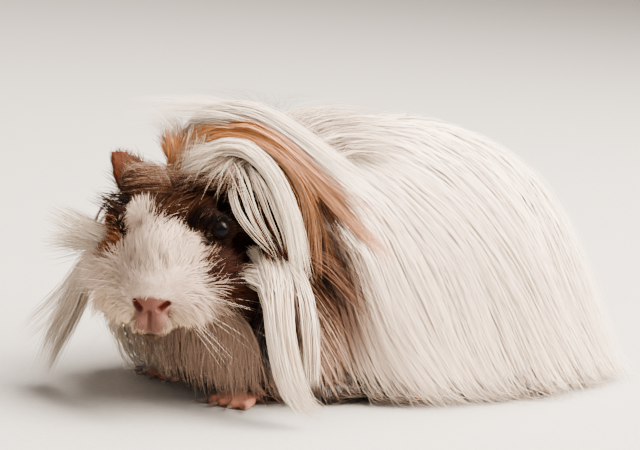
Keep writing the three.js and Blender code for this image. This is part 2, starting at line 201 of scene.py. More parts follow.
def markings(points):
    """The colour of the coat at these places on the skin."""
    h = to_head(points)
    ahead, left, up = h[:, 0], h[:, 1], h[:, 2]
    across, along, height = points[:, 0], points[:, 1], points[:, 2]
    n = len(points)
    ragged = 1.3 * np.sin(0.9 * left + 0.5 * up) + 1.0 * np.sin(1.7 * up - 0.6 * left)

    colour = np.tile(WHITE, (n, 1))

    def paint(shade, mask):
        nonlocal colour
        colour = mix(colour, shade, np.clip(mask, 0, 1)[:, None])

    # taupe streaks over the near shoulder, and a beige bib in front
    streak = 0.5 + 0.5 * np.sin(0.5 * along + 0.35 * height + 2 * np.sin(0.11 * along))
    paint(TAUPE * 1.4, 0.55 * streak * ease(-80, -60, along) * ease(0, -22, along) * ease(92, 101, height))
    paint(CREAM, 0.5 * ease(-84, -92, along) * ease(60, 44, height))
    # painted shade: the white of the lower flanks darkened towards beige, more so lower down
    paint(BEIGE, 0.22 * ease(62, 24, height) * ease(-40, -10, along) * ease(90, 50, along))
    # the neck's left side: brown behind the cheek, taupe streaks and beige, then white over the shoulder
    near = ease(18, 32, across) * (1 - head_share(points)) * ease(-98, -90, along) * ease(98, 86, height)
    paint(BEIGE, 0.8 * near * ease(-26, -44, along + 0.3 * (height - 45)) * ease(6, 30, height))
    paint(TAUPE * 1.15, 0.9 * near * ease(-26, -44, along) * ease(60, 42, height))
    paint(TAUPE, 0.85 * near * ease(-30, -44, along) * ease(42, 18, height))
    slanting = ease(11, 4, np.abs(along + 43 + 0.375 * (height - 42)))
    paint(TAUPE * 1.3, 0.85 * near * slanting * ease(18, 30, height) * ease(75, 62, height))
    paint(BROWN * 1.3, near * ease(-47, -58, along) * ease(28, 42, height))
    paint(mix(BROWN, TAUPE, 0.4), near * ease(-42, -54, along) * ease(60, 70, height))
    # the brown nape beside the right ear
    ear_nape = ease(-40, -34, ahead) * ease(-4, -10, ahead) * ease(-9, -14, left) * ease(2, 6, up)
    paint(TAUPE, ear_nape)
    paint(SOOT, 0.85 * ear_nape * ease(20, 14, up))
    # the face is a softer, pinker white, also darkened by painted shade, and its left side is darker still
    # with painted shade
    on_head = head_share(points)
    paint(FACE_PINK_AND_SHADE, 0.85 * on_head)
    paint(FACE_PAINTED_SHADE, 0.75 * on_head * ease(0, 12, left))
    # the head: brown on forehead and left cheek, with a painted shadow band over the left eye where the
    # forehead hair overhangs
    head = ease(-16, -8, ahead)
    brown = head * ease(-0.6, 0.6, brown_depth(h) + 0.5 * ragged) * ease(-25, -21, left)
    paint(BROWN, brown)
    paint(TAUPE * 1.2, 0.35 * brown * ease(20, 26, up) * ease(6, -4, ahead))
    # partly the cheek's own dark brown, partly painted shade under the left lock: the lower left cheek is
    # darker
    paint(BROWN * 0.5, brown * ease(18, 23, left) * ease(12, 5, up))
    # painted shadow: a dark band under the overhanging forehead hair
    band = ease(4.8, 2.6, gap_to_line(h, (16.2, -2.3, 16), (13.4, 16, 17.4)))
    band = np.maximum(band, ease(4.8, 2.6, gap_to_line(h, (13.4, 16, 17.4), (9.4, 24, 17.4))))
    round_eye = ease(9.5, 6.5, eye_gap(h, 1))
    behind_eye = ease(16, 22, left) * ease(8, 3, ahead) * ease(2, 8, up)
    paint(SOOT, head * np.maximum(0.75 * round_eye, 0.35 * behind_eye))
    paint(SOOT * 0.5, head * band)
    # the right side of the face: soot over rust round the eye
    right = ease(-16.5, -18.5, left + 0.3 * ragged) * ease(17, 14, ahead + 0.3 * ragged)
    right = right * ease(-14, -8, ahead)
    paint(RUST, right * ease(-5, -1, up))
    paint(SOOT, right * ease(10, 13, up))
    # cream on the chin, and painted shade under its middle
    chin = ease(-15, -21, up) * ease(4, 12, ahead) * ease(18, 10, left)
    paint(mix(CREAM, BEIGE, 0.35), 0.8 * chin)
    paint(PAINTED_SHADE_UNDER_CHIN * 0.45, ease(-22.5, -25, up) * ease(2, 10, ahead) * ease(20, 12, left) * ease(-12, -5, left))
    paint(LIP_FUZZ, ease(1.4, 0.9, np.hypot((left - 0.9) / 6.6, (up + 18.6) / 5)) * ease(33, 35, ahead))
    return colour


# ------------------------------------------------------------------ Blender helpers
def deselect():
    bpy.ops.object.select_all(action="DESELECT")


def activate(obj):
    deselect()
    obj.select_set(True)
    bpy.context.view_layer.objects.active = obj


def settle():
    bpy.ops.object.transform_apply(location=True, rotation=True, scale=True)


def apply_all(obj):
    activate(obj)
    for modifier in list(obj.modifiers):
        bpy.ops.object.modifier_apply(modifier=modifier.name)


def lump(centre, radii, axes=None):
    """An egg of flesh: centre and radii in mm, turned with the head where axes are its own."""
    turn = Matrix(axes.tolist()).to_euler() if axes is not None else (0, 0, 0)
    place = np.asarray(centre) * MM
    bpy.ops.mesh.primitive_ico_sphere_add(subdivisions=4, radius=1, location=place, rotation=turn)
    made = bpy.context.object
    made.scale = [r * MM for r in radii]
    settle()
    return made


def head_lump(centre, radii):
    return lump(from_head(centre), radii, head_axes)


def copy_of(node):
    """A welded copy of a CAD node's mesh."""
    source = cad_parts[node]
    made = bpy.data.objects.new(node + "_flesh", source.data.copy())
    bpy.context.collection.objects.link(made)
    made.matrix_world = source.matrix_world
    activate(made)
    settle()
    bpy.ops.object.mode_set(mode="EDIT")
    bpy.ops.mesh.select_all(action="SELECT")
    bpy.ops.mesh.remove_doubles(threshold=1e-6)
    bpy.ops.object.mode_set(mode="OBJECT")
    return made


def join(parts, name):
    deselect()
    for part in parts:
        part.select_set(True)
    bpy.context.view_layer.objects.active = parts[0]
    bpy.ops.object.join()
    made = bpy.context.object
    made.name = made.data.name = name
    return made


def remesh(obj, voxel):
    modifier = obj.modifiers.new("Remesh", "REMESH")
    modifier.mode = "VOXEL"
    modifier.voxel_size = voxel * MM
    apply_all(obj)


def fetch(items, attribute, width, kind=float):
    """One attribute of a mesh's items, as rows of this width."""
    values = np.empty(len(items) * width, kind)
    items.foreach_get(attribute, values)
    return values.reshape(-1, width)


def fill(items, attribute, values, kind=np.float32):
    items.foreach_set(attribute, np.asarray(values).astype(kind).ravel())


def places(mesh):
    """The mesh's vertices in mm."""
    return fetch(mesh.vertices, "co", 3) / MM


def put_places(mesh, points):
    fill(mesh.vertices, "co", points * MM)
    mesh.update()


def colour_points(mesh, colours):
    """Each vertex's colour, in the attribute that the materials read."""
    tone = np.ones((len(colours), 4))
    tone[:, :3] = colours
    fill(mesh.color_attributes.new("Coat", "FLOAT_COLOR", "POINT").data, "color", tone)


def edit(obj, chosen):
    """Opens the mesh for editing with only these vertices selected."""
    activate(obj)
    mesh = obj.data
    for items, picked in ((mesh.polygons, False), (mesh.edges, False), (mesh.vertices, chosen)):
        fill(items, "select", np.zeros(len(items), bool) | picked, bool)
    bpy.ops.object.mode_set(mode="EDIT")
    bpy.ops.mesh.select_mode(type="VERT")


def leave_edit():
    bpy.ops.object.mode_set(mode="OBJECT")


def soften(obj, chosen, rounds):
    edit(obj, chosen)
    bpy.ops.mesh.vertices_smooth(factor=0.5, repeat=rounds)
    leave_edit()


# ------------------------------------------------------------------ the skin
LEGS = ("leg_front_left", "leg_front_right", "leg_hind_left", "leg_hind_right")
BARE = ("nose", "ear_left", "ear_right") + LEGS
EARS = ("ear_left", "ear_right")
SKIN_VOXEL, SKIN_ROUNDS = 1.35, 14  # the grain of the skin, and how often it's smoothed
ENVELOPE_VOXEL, ENVELOPE_ROUNDS = 3.0, 8
RIGHT_EAR_LOWER = 2.6
COAT_DEPTH = 8.0  # the least depth of the long coat over the sides
BACK_DEPTH = 2.8  # and along the back, where its hair starts


def flesh():
    parts = [
        lump((SPINE_X, 14, 55), (45, 82, 45)),  # barrel
        lump((SPINE_X, 54, 45), (46, 54, 39)),  # rump
        lump((SPINE_X + 4, -38, 56), (42, 50, 45)),  # shoulders
        lump((6, -68, 44), (32, 30, 32)),  # chest
        lump((13, -84, 58), (30, 32, 32)),  # neck
    ]
    for side in (-1, 1):
        parts.append(lump((SPINE_X + 36 * side, 34, 26), (17, 34, 18)))  # thigh
        parts.append(lump((SPINE_X + 30 * side + 5, -68, 26), (14, 17, 20)))  # upper arm
        parts += [
            head_lump((4.7, 13 * side, -10), (21.5, 15.5, 15.5)),  # cheek
            head_lump((26, 8.5 * side, -15), (11.5, 9.5, 8.5)),  # whisker pad
            head_lump((4.7, 13 * side, 13.5), (10.5, 7.4, 6)),  # brow
            head_lump((41.5, 3.6 * side, -20.8), (4.4, 4.2, 5.0)),  # upper lip
            head_lump((-16, 17 * side, 17), (7, 6, 8)),  # root of the ear
            head_lump(eye_place(side), (6.3, 5.4, 6.0)),  # lids
        ]
    parts += [
        head_lump((-11, 0, 2), (29, 24.5, 21.5)),  # cranium
        head_lump((14, 0, -1), (22.5, 13.5, 13)),  # bridge
        head_lump((24, 0, -9.6), (19, 14.5, 12.5)),  # muzzle
        head_lump((18.7, 0, -22), (16.5, 11, 7.5)),  # lower jaw
        head_lump((36.0, 0, -26.2), (5.5, 4.6, 3.4)),  # lower lip
    ]
    petals = [copy_of(node) for node in BARE]
    ear = petals[BARE.index("ear_right")]
    put_places(ear.data, places(ear.data) - [0, 0, RIGHT_EAR_LOWER])
    return parts + petals


def near_any(points, nodes, reach):
    """True for the points within reach of one of the nodes' boxes."""
    found = np.zeros(len(points), bool)
    for node in nodes:
        low, high = box(node)
        found |= ((points > low - reach) & (points < high + reach)).all(axis=1)
    return found


def refine(obj, centre, radius):
    """Divides the faces round a place of the head, so that they hold fine forms."""
    edit(obj, np.linalg.norm(places(obj.data) - from_head(centre), axis=1) < radius)
    bpy.ops.mesh.subdivide(number_cuts=1)
    bpy.ops.mesh.vertices_smooth(factor=0.5, repeat=3)
    leave_edit()


def gap_to_line(points, a, b):
    """How far the points are from a straight line from a to b."""
    a, b = np.asarray(a, float), np.asarray(b, float)
    along = np.clip(((points - a) @ (b - a)) / ((b - a) @ (b - a)), 0, 1)
    return np.linalg.norm(points - (a + along[:, None] * (b - a)), axis=1)


NOSTRIL = ((4.0, -14.3), (6.6, -12.4))  # inner and outer end: left, up in the head's frame
NOSE_FRONT = 33  # what lies farther ahead belongs to nose and lips
EYE_GAZE = {1: unit(np.array([0.93, 0.35, 0.08])), -1: unit(np.array([0.42, -0.9, 0.1]))}


def seen_from_front(h):
    return h * [0, 1, 1]


def nostril_gap(h, side):
    """How far places of the head are from a nostril's line, seen from the front."""
    (y0, z0), (y1, z1) = NOSTRIL
    return gap_to_line(seen_from_front(h), (0, y0 * side, z0), (0, y1 * side, z1))


def carve_nose(obj):
    """Nostrils, the cleft below them and the mouth's line, pressed into the skin."""
    h = to_head(places(obj.data))
    flat = seen_from_front(h)
    grooves = [(3.2, 1.7, 0.5, nostril_gap(h, side)) for side in (-1, 1)]
    grooves.append((1.5, 1.2, 0.1, gap_to_line(flat, (0, 0, -15.5), (0, 0.3, -25.0))))
    grooves += [(1.3, 1.3, 0.2, gap_to_line(flat, (0, 0, -25.2), (0, 5 * side, -24.4))) for side in (-1, 1)]
    push = np.maximum.reduce([deep * ease(edge, floor, gap) for deep, edge, floor, gap in grooves])
    h[:, 0] -= push * (h[:, 0] > NOSE_FRONT)
    put_places(obj.data, from_head(h))


LID_OPENING = (0.80, 0.84)  # half width and half height of the opening, as shares of the ball
LID_THICKNESS = 0.6


def open_lids(obj):
    """Lays the skin round each eyeball as lids, and sinks it behind the ball inside their almond opening."""
    h = to_head(places(obj.data))
    for side in (-1, 1):
        gaze = EYE_GAZE[side]
        sideways = unit(np.cross([0, 0, 1], gaze))
        upward = np.cross(gaze, sideways)
        centre = eye_place(side)
        ray = h - centre
        reach = np.linalg.norm(ray, axis=1)
        aim = unit(ray)
        oval = np.hypot(aim @ sideways / LID_OPENING[0], aim @ upward / LID_OPENING[1])
        near = (aim @ gaze > 0.15) & (reach < 9)
        lid = mix(reach, EYE_RADIUS + LID_THICKNESS, ease(1.45, 1.1, oval))
        lid = mix(lid, EYE_RADIUS - 1.0, ease(1.04, 0.94, oval))
        h = np.where(near[:, None], centre + aim * lid[:, None], h)
    put_places(obj.data, from_head(h))


def make_skin(coat):
    skin = join(flesh(), "skin")
    remesh(skin, SKIN_VOXEL)
    points = places(skin.data)
    soft = ~near_any(points, BARE, 1.5)
    depth = coat.distance(points)
    high = ease(84, 104, points[:, 2]) * ease(-80, -60, points[:, 1])
    wanted = mix(COAT_DEPTH, BACK_DEPTH, high)
    press = np.clip(depth + wanted, -14 * high, 30) * soft * (1 - head_share(points))
    put_places(skin.data, points - coat.outward(points) * press[:, None])
    soften(skin, soft, SKIN_ROUNDS)
    refine(skin, [41, 0, -17], 15)
    refine(skin, [43, 0, -17], 11)
    for side in (-1, 1):
        refine(skin, eye_place(side), 9.5)
        refine(skin, eye_place(side), 8.0)
    carve_nose(skin)
    open_lids(skin)
    activate(skin)
    bpy.ops.object.mode_set(mode="EDIT")
    bpy.ops.mesh.select_all(action="SELECT")
    bpy.ops.uv.smart_project(angle_limit=math.radians(66), island_margin=0.004)
    leave_edit()
    bpy.ops.object.shade_smooth()
    return skin


# ------------------------------------------------------------------ distance fields
class Form:
    """The distance from a closed mesh, on a grid: negative inside."""

    def __init__(self, obj, step=4.0, margin=14):
        tree = BVHTree.FromObject(obj, bpy.context.evaluated_depsgraph_get())
        points = places(obj.data)
        self.step = step
        self.low = points.min(axis=0) - margin
        self.count = np.ceil((points.max(axis=0) + margin - self.low) / step).astype(int) + 1
        axes = [self.low[i] + step * np.arange(self.count[i]) for i in range(3)]
        grid = np.stack(np.meshgrid(*axes, indexing="ij"), axis=-1).reshape(-1, 3)
        far = np.empty(len(grid))
        for i, p in enumerate(grid * MM):
            near, normal, _, reach = tree.find_nearest(p)
            inside = sum((p[k] - near[k]) * normal[k] for k in range(3)) < 0
            far[i] = -reach if inside else reach
        self.far = (far / MM).reshape(self.count)
        self.slope = np.stack(np.gradient(self.far, step), axis=-1)

    def read(self, table, points):
        """The table's value at each point, blended from the grid's corners round it."""
        at = np.clip((points - self.low) / self.step, 0, self.count - 1.001)
        k = at.astype(int)
        t = at - k
        total = 0
        for corner in np.ndindex(2, 2, 2):
            share = np.abs(1 - np.array(corner) - t).prod(axis=1)
            value = table[tuple((k + corner).T)]
            total = total + value * (share if value.ndim == 1 else share[:, None])
        return total

    def distance(self, points):
        return self.read(self.far, points)

    def outward(self, points):
        return unit(self.read(self.slope, points))


def make_envelope():
    """The outer form of the long coat, rounded off from the frame's trunk and neck."""
    shell = join([copy_of("trunk"), copy_of("neck")], "envelope")
    remesh(shell, ENVELOPE_VOXEL)
    soften(shell, True, ENVELOPE_ROUNDS)
    return shell


# ------------------------------------------------------------------ roots on the skin
def blend(corners, u, v):
    """A value inside each triangle, from the values at its three corners."""
    a, b, c = (corners[:, i] for i in range(3))
    return a + (b - a) * u + (c - a) * v


class Ground:
    """The skin as a bed for roots: places, normals and the unwrap, triangle by triangle."""

    def __init__(self, obj):
        mesh = obj.data
        mesh.calc_loop_triangles()
        self.corners = fetch(mesh.loop_triangles, "vertices", 3, int)
        self.normals = fetch(mesh.vertices, "normal", 3)
        self.points = places(mesh)
        self.uv = fetch(mesh.uv_layers.active.data, "uv", 2)[fetch(mesh.loop_triangles, "loops", 3, int)]
        a, b, c = (self.points[self.corners[:, i]] for i in range(3))
        self.area = np.linalg.norm(np.cross(b - a, c - a), axis=1) / 2
        self.centres = (a + b + c) / 3
        self.facing = unit(self.normals[self.corners].sum(axis=1))
        self.tree = BVHTree.FromPolygons((self.points * MM).tolist(), self.corners.tolist())

    def scatter(self, count, density):
        """Roots where the density asks for them: places, normals and their spots on the unwrap."""
        weight = self.area * np.clip(density, 0, None)
        chosen = draw.choice(len(weight), size=int(count * THRIFT), p=weight / weight.sum())
        u, v = draw.random((2, len(chosen), 1))
        over = u + v > 1
        u, v = np.where(over, 1 - u, u), np.where(over, 1 - v, v)
        corners = self.corners[chosen]
        normals = unit(blend(self.normals[corners], u, v))
        return blend(self.points[corners], u, v), normals, blend(self.uv[chosen], u, v)

    def spots_near(self, points):
        """The nearest place on the skin, and its spot on the unwrap."""
        near = [self.tree.find_nearest(p) for p in points * MM]
        return np.array([hit[0][:] for hit in near]) / MM, self.uv[[hit[2] for hit in near]].mean(axis=1)


# ------------------------------------------------------------------ slivers of hair
PATCH = 0.003  # a tuft's share of the unwrap
RIDGE = 0.45  # height of a sliver's ridge over its half width


def sliver_mesh(name, hair, softness):
    """One mesh of closed slivers.

    hair is paths (n, s, 3), outs (n, s, 3), widths (n,), colours (n, s, 3) and spots (n, 2).
    softness turns the shading of each sliver towards the lie of the whole coat.
    """
    paths, outs, widths, colours, spots = hair
    n, s, _ = paths.shape
    rings = s - 1
    along = unit(np.gradient(paths, axis=1))
    across = unit(np.cross(along, outs))[:, :rings]
    above = unit(np.cross(across, along[:, :rings]))
    share = np.linspace(0, 1, s)[:rings]
    girth = np.minimum(0.55 + 2.2 * share, 1.0) * (1 - share**2.2) ** 0.8
    half = widths[:, None, None] * 0.5 * girth[None, :, None]
    per = rings * 3 + 1

    def woven(left, right, top, tip):
        """The values of each ring's three corners and, at the end, of the tip."""
        ring = np.stack([left, right, top], axis=2).reshape(n, rings * 3, -1)
        return np.concatenate([ring, tip], axis=1).reshape(n * per, -1)

    centre = paths[:, :rings]
    verts = woven(
        centre - across * half, centre + across * half, centre + above * half * RIDGE, paths[:, -1:]
    )
    last = (rings - 1) * 3
    sides = (0, 1), (1, 2), (2, 0)
    quads = [[k + j, k + i, k + 3 + i, k + 3 + j] for k in range(0, last, 3) for i, j in sides]
    triangles = [[last + j, last + i, rings * 3] for i, j in sides] + [[0, 1, 2]]
    face = np.array(sum(quads + triangles, []))
    loops = (np.arange(n)[:, None] * per + face).ravel()
    sizes = np.tile([4] * len(quads) + [3] * len(triangles), n)
    mesh = bpy.data.meshes.new(name)
    mesh.vertices.add(len(verts))
    fill(mesh.vertices, "co", verts * MM)
    mesh.loops.add(len(loops))
    fill(mesh.loops, "vertex_index", loops, np.int32)
    mesh.polygons.add(len(sizes))
    fill(mesh.polygons, "loop_start", np.cumsum(sizes) - sizes, np.int32)
    fill(mesh.polygons, "loop_total", sizes, np.int32)
    fill(mesh.polygons, "use_smooth", np.ones(len(sizes)), bool)
    mesh.update(calc_edges=True)
    lie = outs[:, :rings]
    own = (-across + 0.3 * above, across + 0.3 * above, above)
    facing = woven(*(unit(mix(unit(way), lie, softness)) for way in own), outs[:, -1:])
    mesh.normals_split_custom_set_from_vertices(facing.astype(np.float32))
    colour_points(mesh, woven(*[colours[:, :rings]] * 3, colours[:, -1:]))
    local = np.zeros((per, 2))
    local[:-1, 0] = np.tile([-0.4, 0.4, 0.0], rings)
    local[:-1, 1] = np.repeat(np.linspace(-0.5, 0.5, s)[:rings], 3)
    local[-1] = (0, 0.5)
    spot = (spots[:, None, :] + local[None] * PATCH).reshape(-1, 2)
    fill(mesh.uv_layers.new(name="OFBake").data, "uv", spot[loops])
    made = bpy.data.objects.new(name, mesh)
    bpy.context.collection.objects.link(made)
    return made


def tones(base, length_steps, root_shade=0.78, tip_light=1.08, spread=0.07):
    """Colours down each hair: a root darkened as painted shade, a paler tip and a little change from hair to
    hair.
    """
    n = len(base)
    base = base[:, None] if base.ndim == 2 else base
    ramp = np.interp(np.linspace(0, 1, length_steps), [0, 0.35, 1], [root_shade, 1.0, tip_light])
    value = 1 + spread * draw.normal(size=(n, 1, 1))
    warmth = 1 + 0.025 * draw.normal(size=(n, 1, 1)) * np.array([1.0, 0.2, -1.0])
    return np.clip(base * ramp[None, :, None] * value * warmth, 0.004, 0.94)


def coat_colours(paths, share, spread):
    """Each hair takes its root's colour and, by this share, the colours of the places it runs over."""
    n, s, _ = paths.shape
    moved = paths + spread * draw.normal(size=(n, 1, 3))
    whole = markings(moved.reshape(-1, 3)).reshape(n, s, 3)
    return mix(whole[:, 2:3], whole, share)


def shorten(paths, shares, starts=0):
    """Each path cut to its share of the length, from its start on, with as many points as before."""
    n, s, _ = paths.shape
    starts = np.zeros(n) + starts
    at = (starts[:, None] + (shares - starts)[:, None] * np.linspace(0, 1, s)[None]) * (s - 1)
    k = np.minimum(at.astype(int), s - 2)
    t = (at - k)[:, :, None]
    rows = np.arange(n)[:, None]
    return paths[rows, k] * (1 - t) + paths[rows, k + 1] * t


def gather_to(paths, leaders, pull):
    """Draws each path towards its leader's, more and more to the tip."""
    share = np.linspace(0, 1, paths.shape[1])[None, :, None] ** 1.4
    return paths + (leaders - paths) * share * pull[:, None, None]


def nearest(points, others, chunk=1500):
    found = np.empty(len(points), int)
    for i in range(0, len(points), chunk):
        gap = ((points[i : i + chunk, None] - others[None]) ** 2).sum(axis=-1)
        found[i : i + chunk] = gap.argmin(axis=1)
    return found


def strew(paths, normals, copies, spread, wave):
    """Fine hairs round each strand, which close up towards its tip."""
    n, s, _ = paths.shape
    share = np.linspace(0, 1, s)[None, :, None]
    many = np.repeat(paths, copies, axis=0)
    side = draw.normal(size=(n * copies, 1, 3))
    upright = np.repeat(normals, copies, axis=0)[:, None]
    side -= upright * dot(side, upright)
    ripple = draw.normal(size=(n * copies, 1, 3)) * np.sin(
        share * draw.uniform(2, 6, (n * copies, 1, 1)) + draw.uniform(0, 6.3, (n * copies, 1, 1))
    )
    return many + side * spread * (1 - 0.55 * share) + ripple * wave * share


# ------------------------------------------------------------------ long hair over the body
FLOOR_CLEAR = 0.5


def body_drift(p):
    """Where long hair wants to go: down, backwards, and off the parting to its side."""
    off = p[:, 0] - SPINE_X + 0.1 * (p[:, 1] - 20)
    side = np.tanh(off / 7.0)
    high = ease(0.55, 1.0, p[:, 2] / BACK_Z)
    slant = 0.30 + 0.28 * ease(-74, -10, p[:, 1])
    v = np.empty_like(p)
    sway = 0.13 * np.sin(0.085 * p[:, 2] + 0.06 * p[:, 1]) + 0.1 * np.sin(0.15 * p[:, 1] - 0.05 * p[:, 2])
    v[:, 0] = side * (0.12 + 0.75 * high)
    v[:, 1] = slant + 0.25 * high + sway
    v[:, 2] = -1.0
    return unit(v)


def grow_long(roots, normals, lengths, layers, coat, skin):
    """Lets strands leave the skin, lie down and run in their layer of the coat."""
    p = roots.copy()
    d = unit(normals * 0.35 + body_drift(p) * 0.6)
    path = [p.copy()]
    step = (lengths / (BODY_STEPS - 1))[:, None]
    floor = FLOOR_CLEAR + draw.random(len(p)) * 2.0
    for k in range(1, BODY_STEPS):
        turn = 0.45 if k == 1 else 0.8
        out = coat.outward(p)
        want = body_drift(p)
        want = unit(want - out * dot(want, out))
        over_floor = unit(out * [1, 1, 0] + [0, 0.8, 0])
        low = ease(10, 2, p[:, 2:])
        want = unit(mix(want, over_floor, 0.9 * low))
        d = unit(d * (1 - turn) + want * turn)
        p = p + d * step * (1 - 0.65 * low)
        p += coat.outward(p) * np.clip((-layers - coat.distance(p)) * 0.55, -3.5, 3.5)[:, None]
        gap = skin.distance(p)
        p += skin.outward(p) * np.clip(1.0 - gap, 0, 4)[:, None]
        p[:, 2] = np.maximum(p[:, 2], floor)
        path.append(p.copy())
    return np.stack(path, axis=1)


# ------------------------------------------------------------------ materials
def set_inputs(node, **values):
    """Sets a node's inputs. A name's underscores stand for blanks."""
    for name, value in values.items():
        node.inputs[name.replace("_", " ")].default_value = value


def attribute_colour(nodes):
    node = nodes.new("ShaderNodeAttribute")
    node.attribute_name = "Coat"
    return node.outputs["Color"]


def object_noise(nodes, links):
    noise = nodes.new("ShaderNodeTexNoise")
    links.new(nodes.new("ShaderNodeTexCoord").outputs["Object"], noise.inputs["Vector"])
    return noise


def tone_group():
    """Breaks an even colour up: soft clouds of light and dark, and fine streaks with their height."""
    group = bpy.data.node_groups.new("soft_variation", "ShaderNodeTree")
    nodes, links = group.nodes, group.links
    for way, names in (
        ("INPUT", ("Color", "Cloud Scale", "Streak Scale", "Depth")),
        ("OUTPUT", ("Color", "Roughness", "Height")),
    ):
        for name in names:
            kind = "NodeSocketColor" if name == "Color" else "NodeSocketFloat"
            group.interface.new_socket(name, in_out=way, socket_type=kind)
    given, out = nodes.new("NodeGroupInput"), nodes.new("NodeGroupOutput")

    def sums(kind, operation, *inputs):
        """A math node, fed with numbers and with other nodes' outputs."""
        node = nodes.new(kind)
        node.operation = operation
        for socket, value in inputs:
            if isinstance(value, float):
                node.inputs[socket].default_value = value
            else:
                links.new(value, node.inputs[socket])
        return node.outputs[0]

    clouds, streaks = object_noise(nodes, links), object_noise(nodes, links)
    for noise, scale in ((clouds, "Cloud Scale"), (streaks, "Streak Scale")):
        links.new(given.outputs[scale], noise.inputs["Scale"])
        set_inputs(noise, Detail=3)
    streak = streaks.outputs["Fac"]
    both = sums("ShaderNodeMath", "ADD", (0, clouds.outputs["Fac"]), (1, streak))
    centred = sums("ShaderNodeMath", "SUBTRACT", (0, both), (1, 1.0))
    scaled = sums("ShaderNodeMath", "MULTIPLY_ADD", (0, centred), (1, given.outputs["Depth"]), (2, 1.0))
    shade = sums("ShaderNodeVectorMath", "SCALE", (0, given.outputs["Color"]), ("Scale", scaled))
    rough = nodes.new("ShaderNodeMapRange")
    set_inputs(rough, To_Min=0.42, To_Max=0.66)
    links.new(streak, rough.inputs["Value"])
    for name, value in (("Color", shade), ("Roughness", rough.outputs[0]), ("Height", streak)):
        links.new(value, out.inputs[name])
    return group


def new_material(name):
    material = bpy.data.materials.new(name)
    material.use_nodes = True
    tree = material.node_tree
    return material, tree.nodes, tree.links, tree.nodes["Principled BSDF"]


def toned_material(name, group, cloud, streak, depth, specular):
    """A material that takes its colour from the mesh and varies it by the shared group."""
    material, nodes, links, shader = new_material(name)
    tone = nodes.new("ShaderNodeGroup")
    tone.node_tree = group
    set_inputs(tone, Cloud_Scale=cloud, Streak_Scale=streak, Depth=depth)
    set_inputs(shader, Specular_IOR_Level=specular)
    links.new(attribute_colour(nodes), tone.inputs["Color"])
    links.new(tone.outputs["Color"], shader.inputs["Base Color"])
    links.new(tone.outputs["Roughness"], shader.inputs["Roughness"])
    return material, nodes, links, shader, tone


def hair_material(name, group, cloud, streak, depth, sheen, specular):
    material, _, _, shader, _ = toned_material(name, group, cloud, streak, depth, specular)
    set_inputs(shader, Sheen_Weight=sheen, Sheen_Roughness=0.4)
    return material


def skin_material(name, group, streak, height):
    material, nodes, links, shader, tone = toned_material(name, group, 90, streak, 0.25, 0.03)
    bump = nodes.new("ShaderNodeBump")
    set_inputs(bump, Strength=0.5, Distance=height * MM)
    links.new(tone.outputs["Height"], bump.inputs["Height"])
    links.new(bump.outputs["Normal"], shader.inputs["Normal"])
    return material


def plain_material(name, colour, roughness, coat=0.0, specular=0.5):
    material, nodes, links, shader = new_material(name)
    noise = object_noise(nodes, links)
    set_inputs(noise, Scale=400)
    ramp = nodes.new("ShaderNodeMix")
    ramp.data_type = "RGBA"
    set_inputs(ramp, A=(*[c * 0.85 for c in colour], 1), B=(*[min(c * 1.12, 1) for c in colour], 1))
    links.new(noise.outputs["Fac"], ramp.inputs["Factor"])
    links.new(ramp.outputs["Result"], shader.inputs["Base Color"])
    set_inputs(
        shader, Roughness=roughness, Coat_Weight=coat, Coat_Roughness=0.03, Specular_IOR_Level=specular
    )
    return material


def dress(obj, material):
    obj.data.materials.clear()
    obj.data.materials.append(material)


def paint_skin(obj):
    """The markings under the coat, and the bare skin of nose, lips, lids, ears and feet."""
    points = places(obj.data)
    h = to_head(points)
    ahead, up = h[:, 0], h[:, 2]
    colour = markings(points) * SKIN_DIM
    bare = bare_share(points)
    tint = np.tile(NOSE_PINK, (len(points), 1))
    ears = ease(-4, -10, ahead) * ease(20, 24, up)
    tint = mix(tint, EAR_BROWN, ears[:, None])
    tint = mix(tint, FOOT_PINK, ease(12, 8, points[:, 2])[:, None])
    colour = mix(colour, tint, bare[:, None])
    for side in (-1, 1):
        gap = nostril_gap(h, side)
        # painted shade in the nostril openings
        colour = mix(colour, NOSTRIL_SHADE, (ease(1.3, 0.5, gap) * (ahead > NOSE_FRONT))[:, None])
        colour = mix(colour, SOOT, ease(8.0, 6.4, eye_gap(h, side))[:, None])
    colour_points(obj.data, colour)


def bare_share(points):
    """1 on bare skin, 0 where hair grows."""
    h = to_head(points)
    ahead, left, up = h[:, 0], h[:, 1], h[:, 2]
    pad = ease(1.2, 0.75, np.hypot(left / 8.2, (up + 13.4) / 4.5)) * (ahead > 38)
    lips = 0.75 * ease(1.25, 0.8, np.hypot((left - 0.9) / 5.8, (up + 18.6) / 4.6)) * (ahead > 36)
    ears = near_any(points, EARS, 0.5) * ease(22, 25, up)
    feet = ease(7, 4, points[:, 2]) * near_any(points, LEGS, 0.6)
    return np.maximum.reduce([pad, lips, ears, feet])


# ------------------------------------------------------------------ planting
def plant(name, hair, material, softness=0.6):
    """Makes one piece of hair, kept near the solids' box and above the floor."""
    paths = hair[0] + HAIR_BACK * (np.clip(hair[0], HAIR_LOW, HAIR_HIGH) - hair[0])
    paths[:, :, 2] = np.maximum(paths[:, :, 2], FLOOR_CLEAR)
    made = sliver_mesh(name, (paths, *hair[1:]), softness)
    dress(made, material)
    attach(made, "root")
    return made


def body_roots(ground, count):
    c, facing = ground.centres, ground.facing
    density = 1 - head_share(c)
    density *= ease(4, 12, c[:, 2])
    density = np.where(facing[:, 2] < -0.55, density * 0.15, density) * (0.7 + 0.6 * ease(40, 100, c[:, 2]))
    density *= 1 - near_any(c, EARS, 0.5)
    return ground.scatter(count, density)


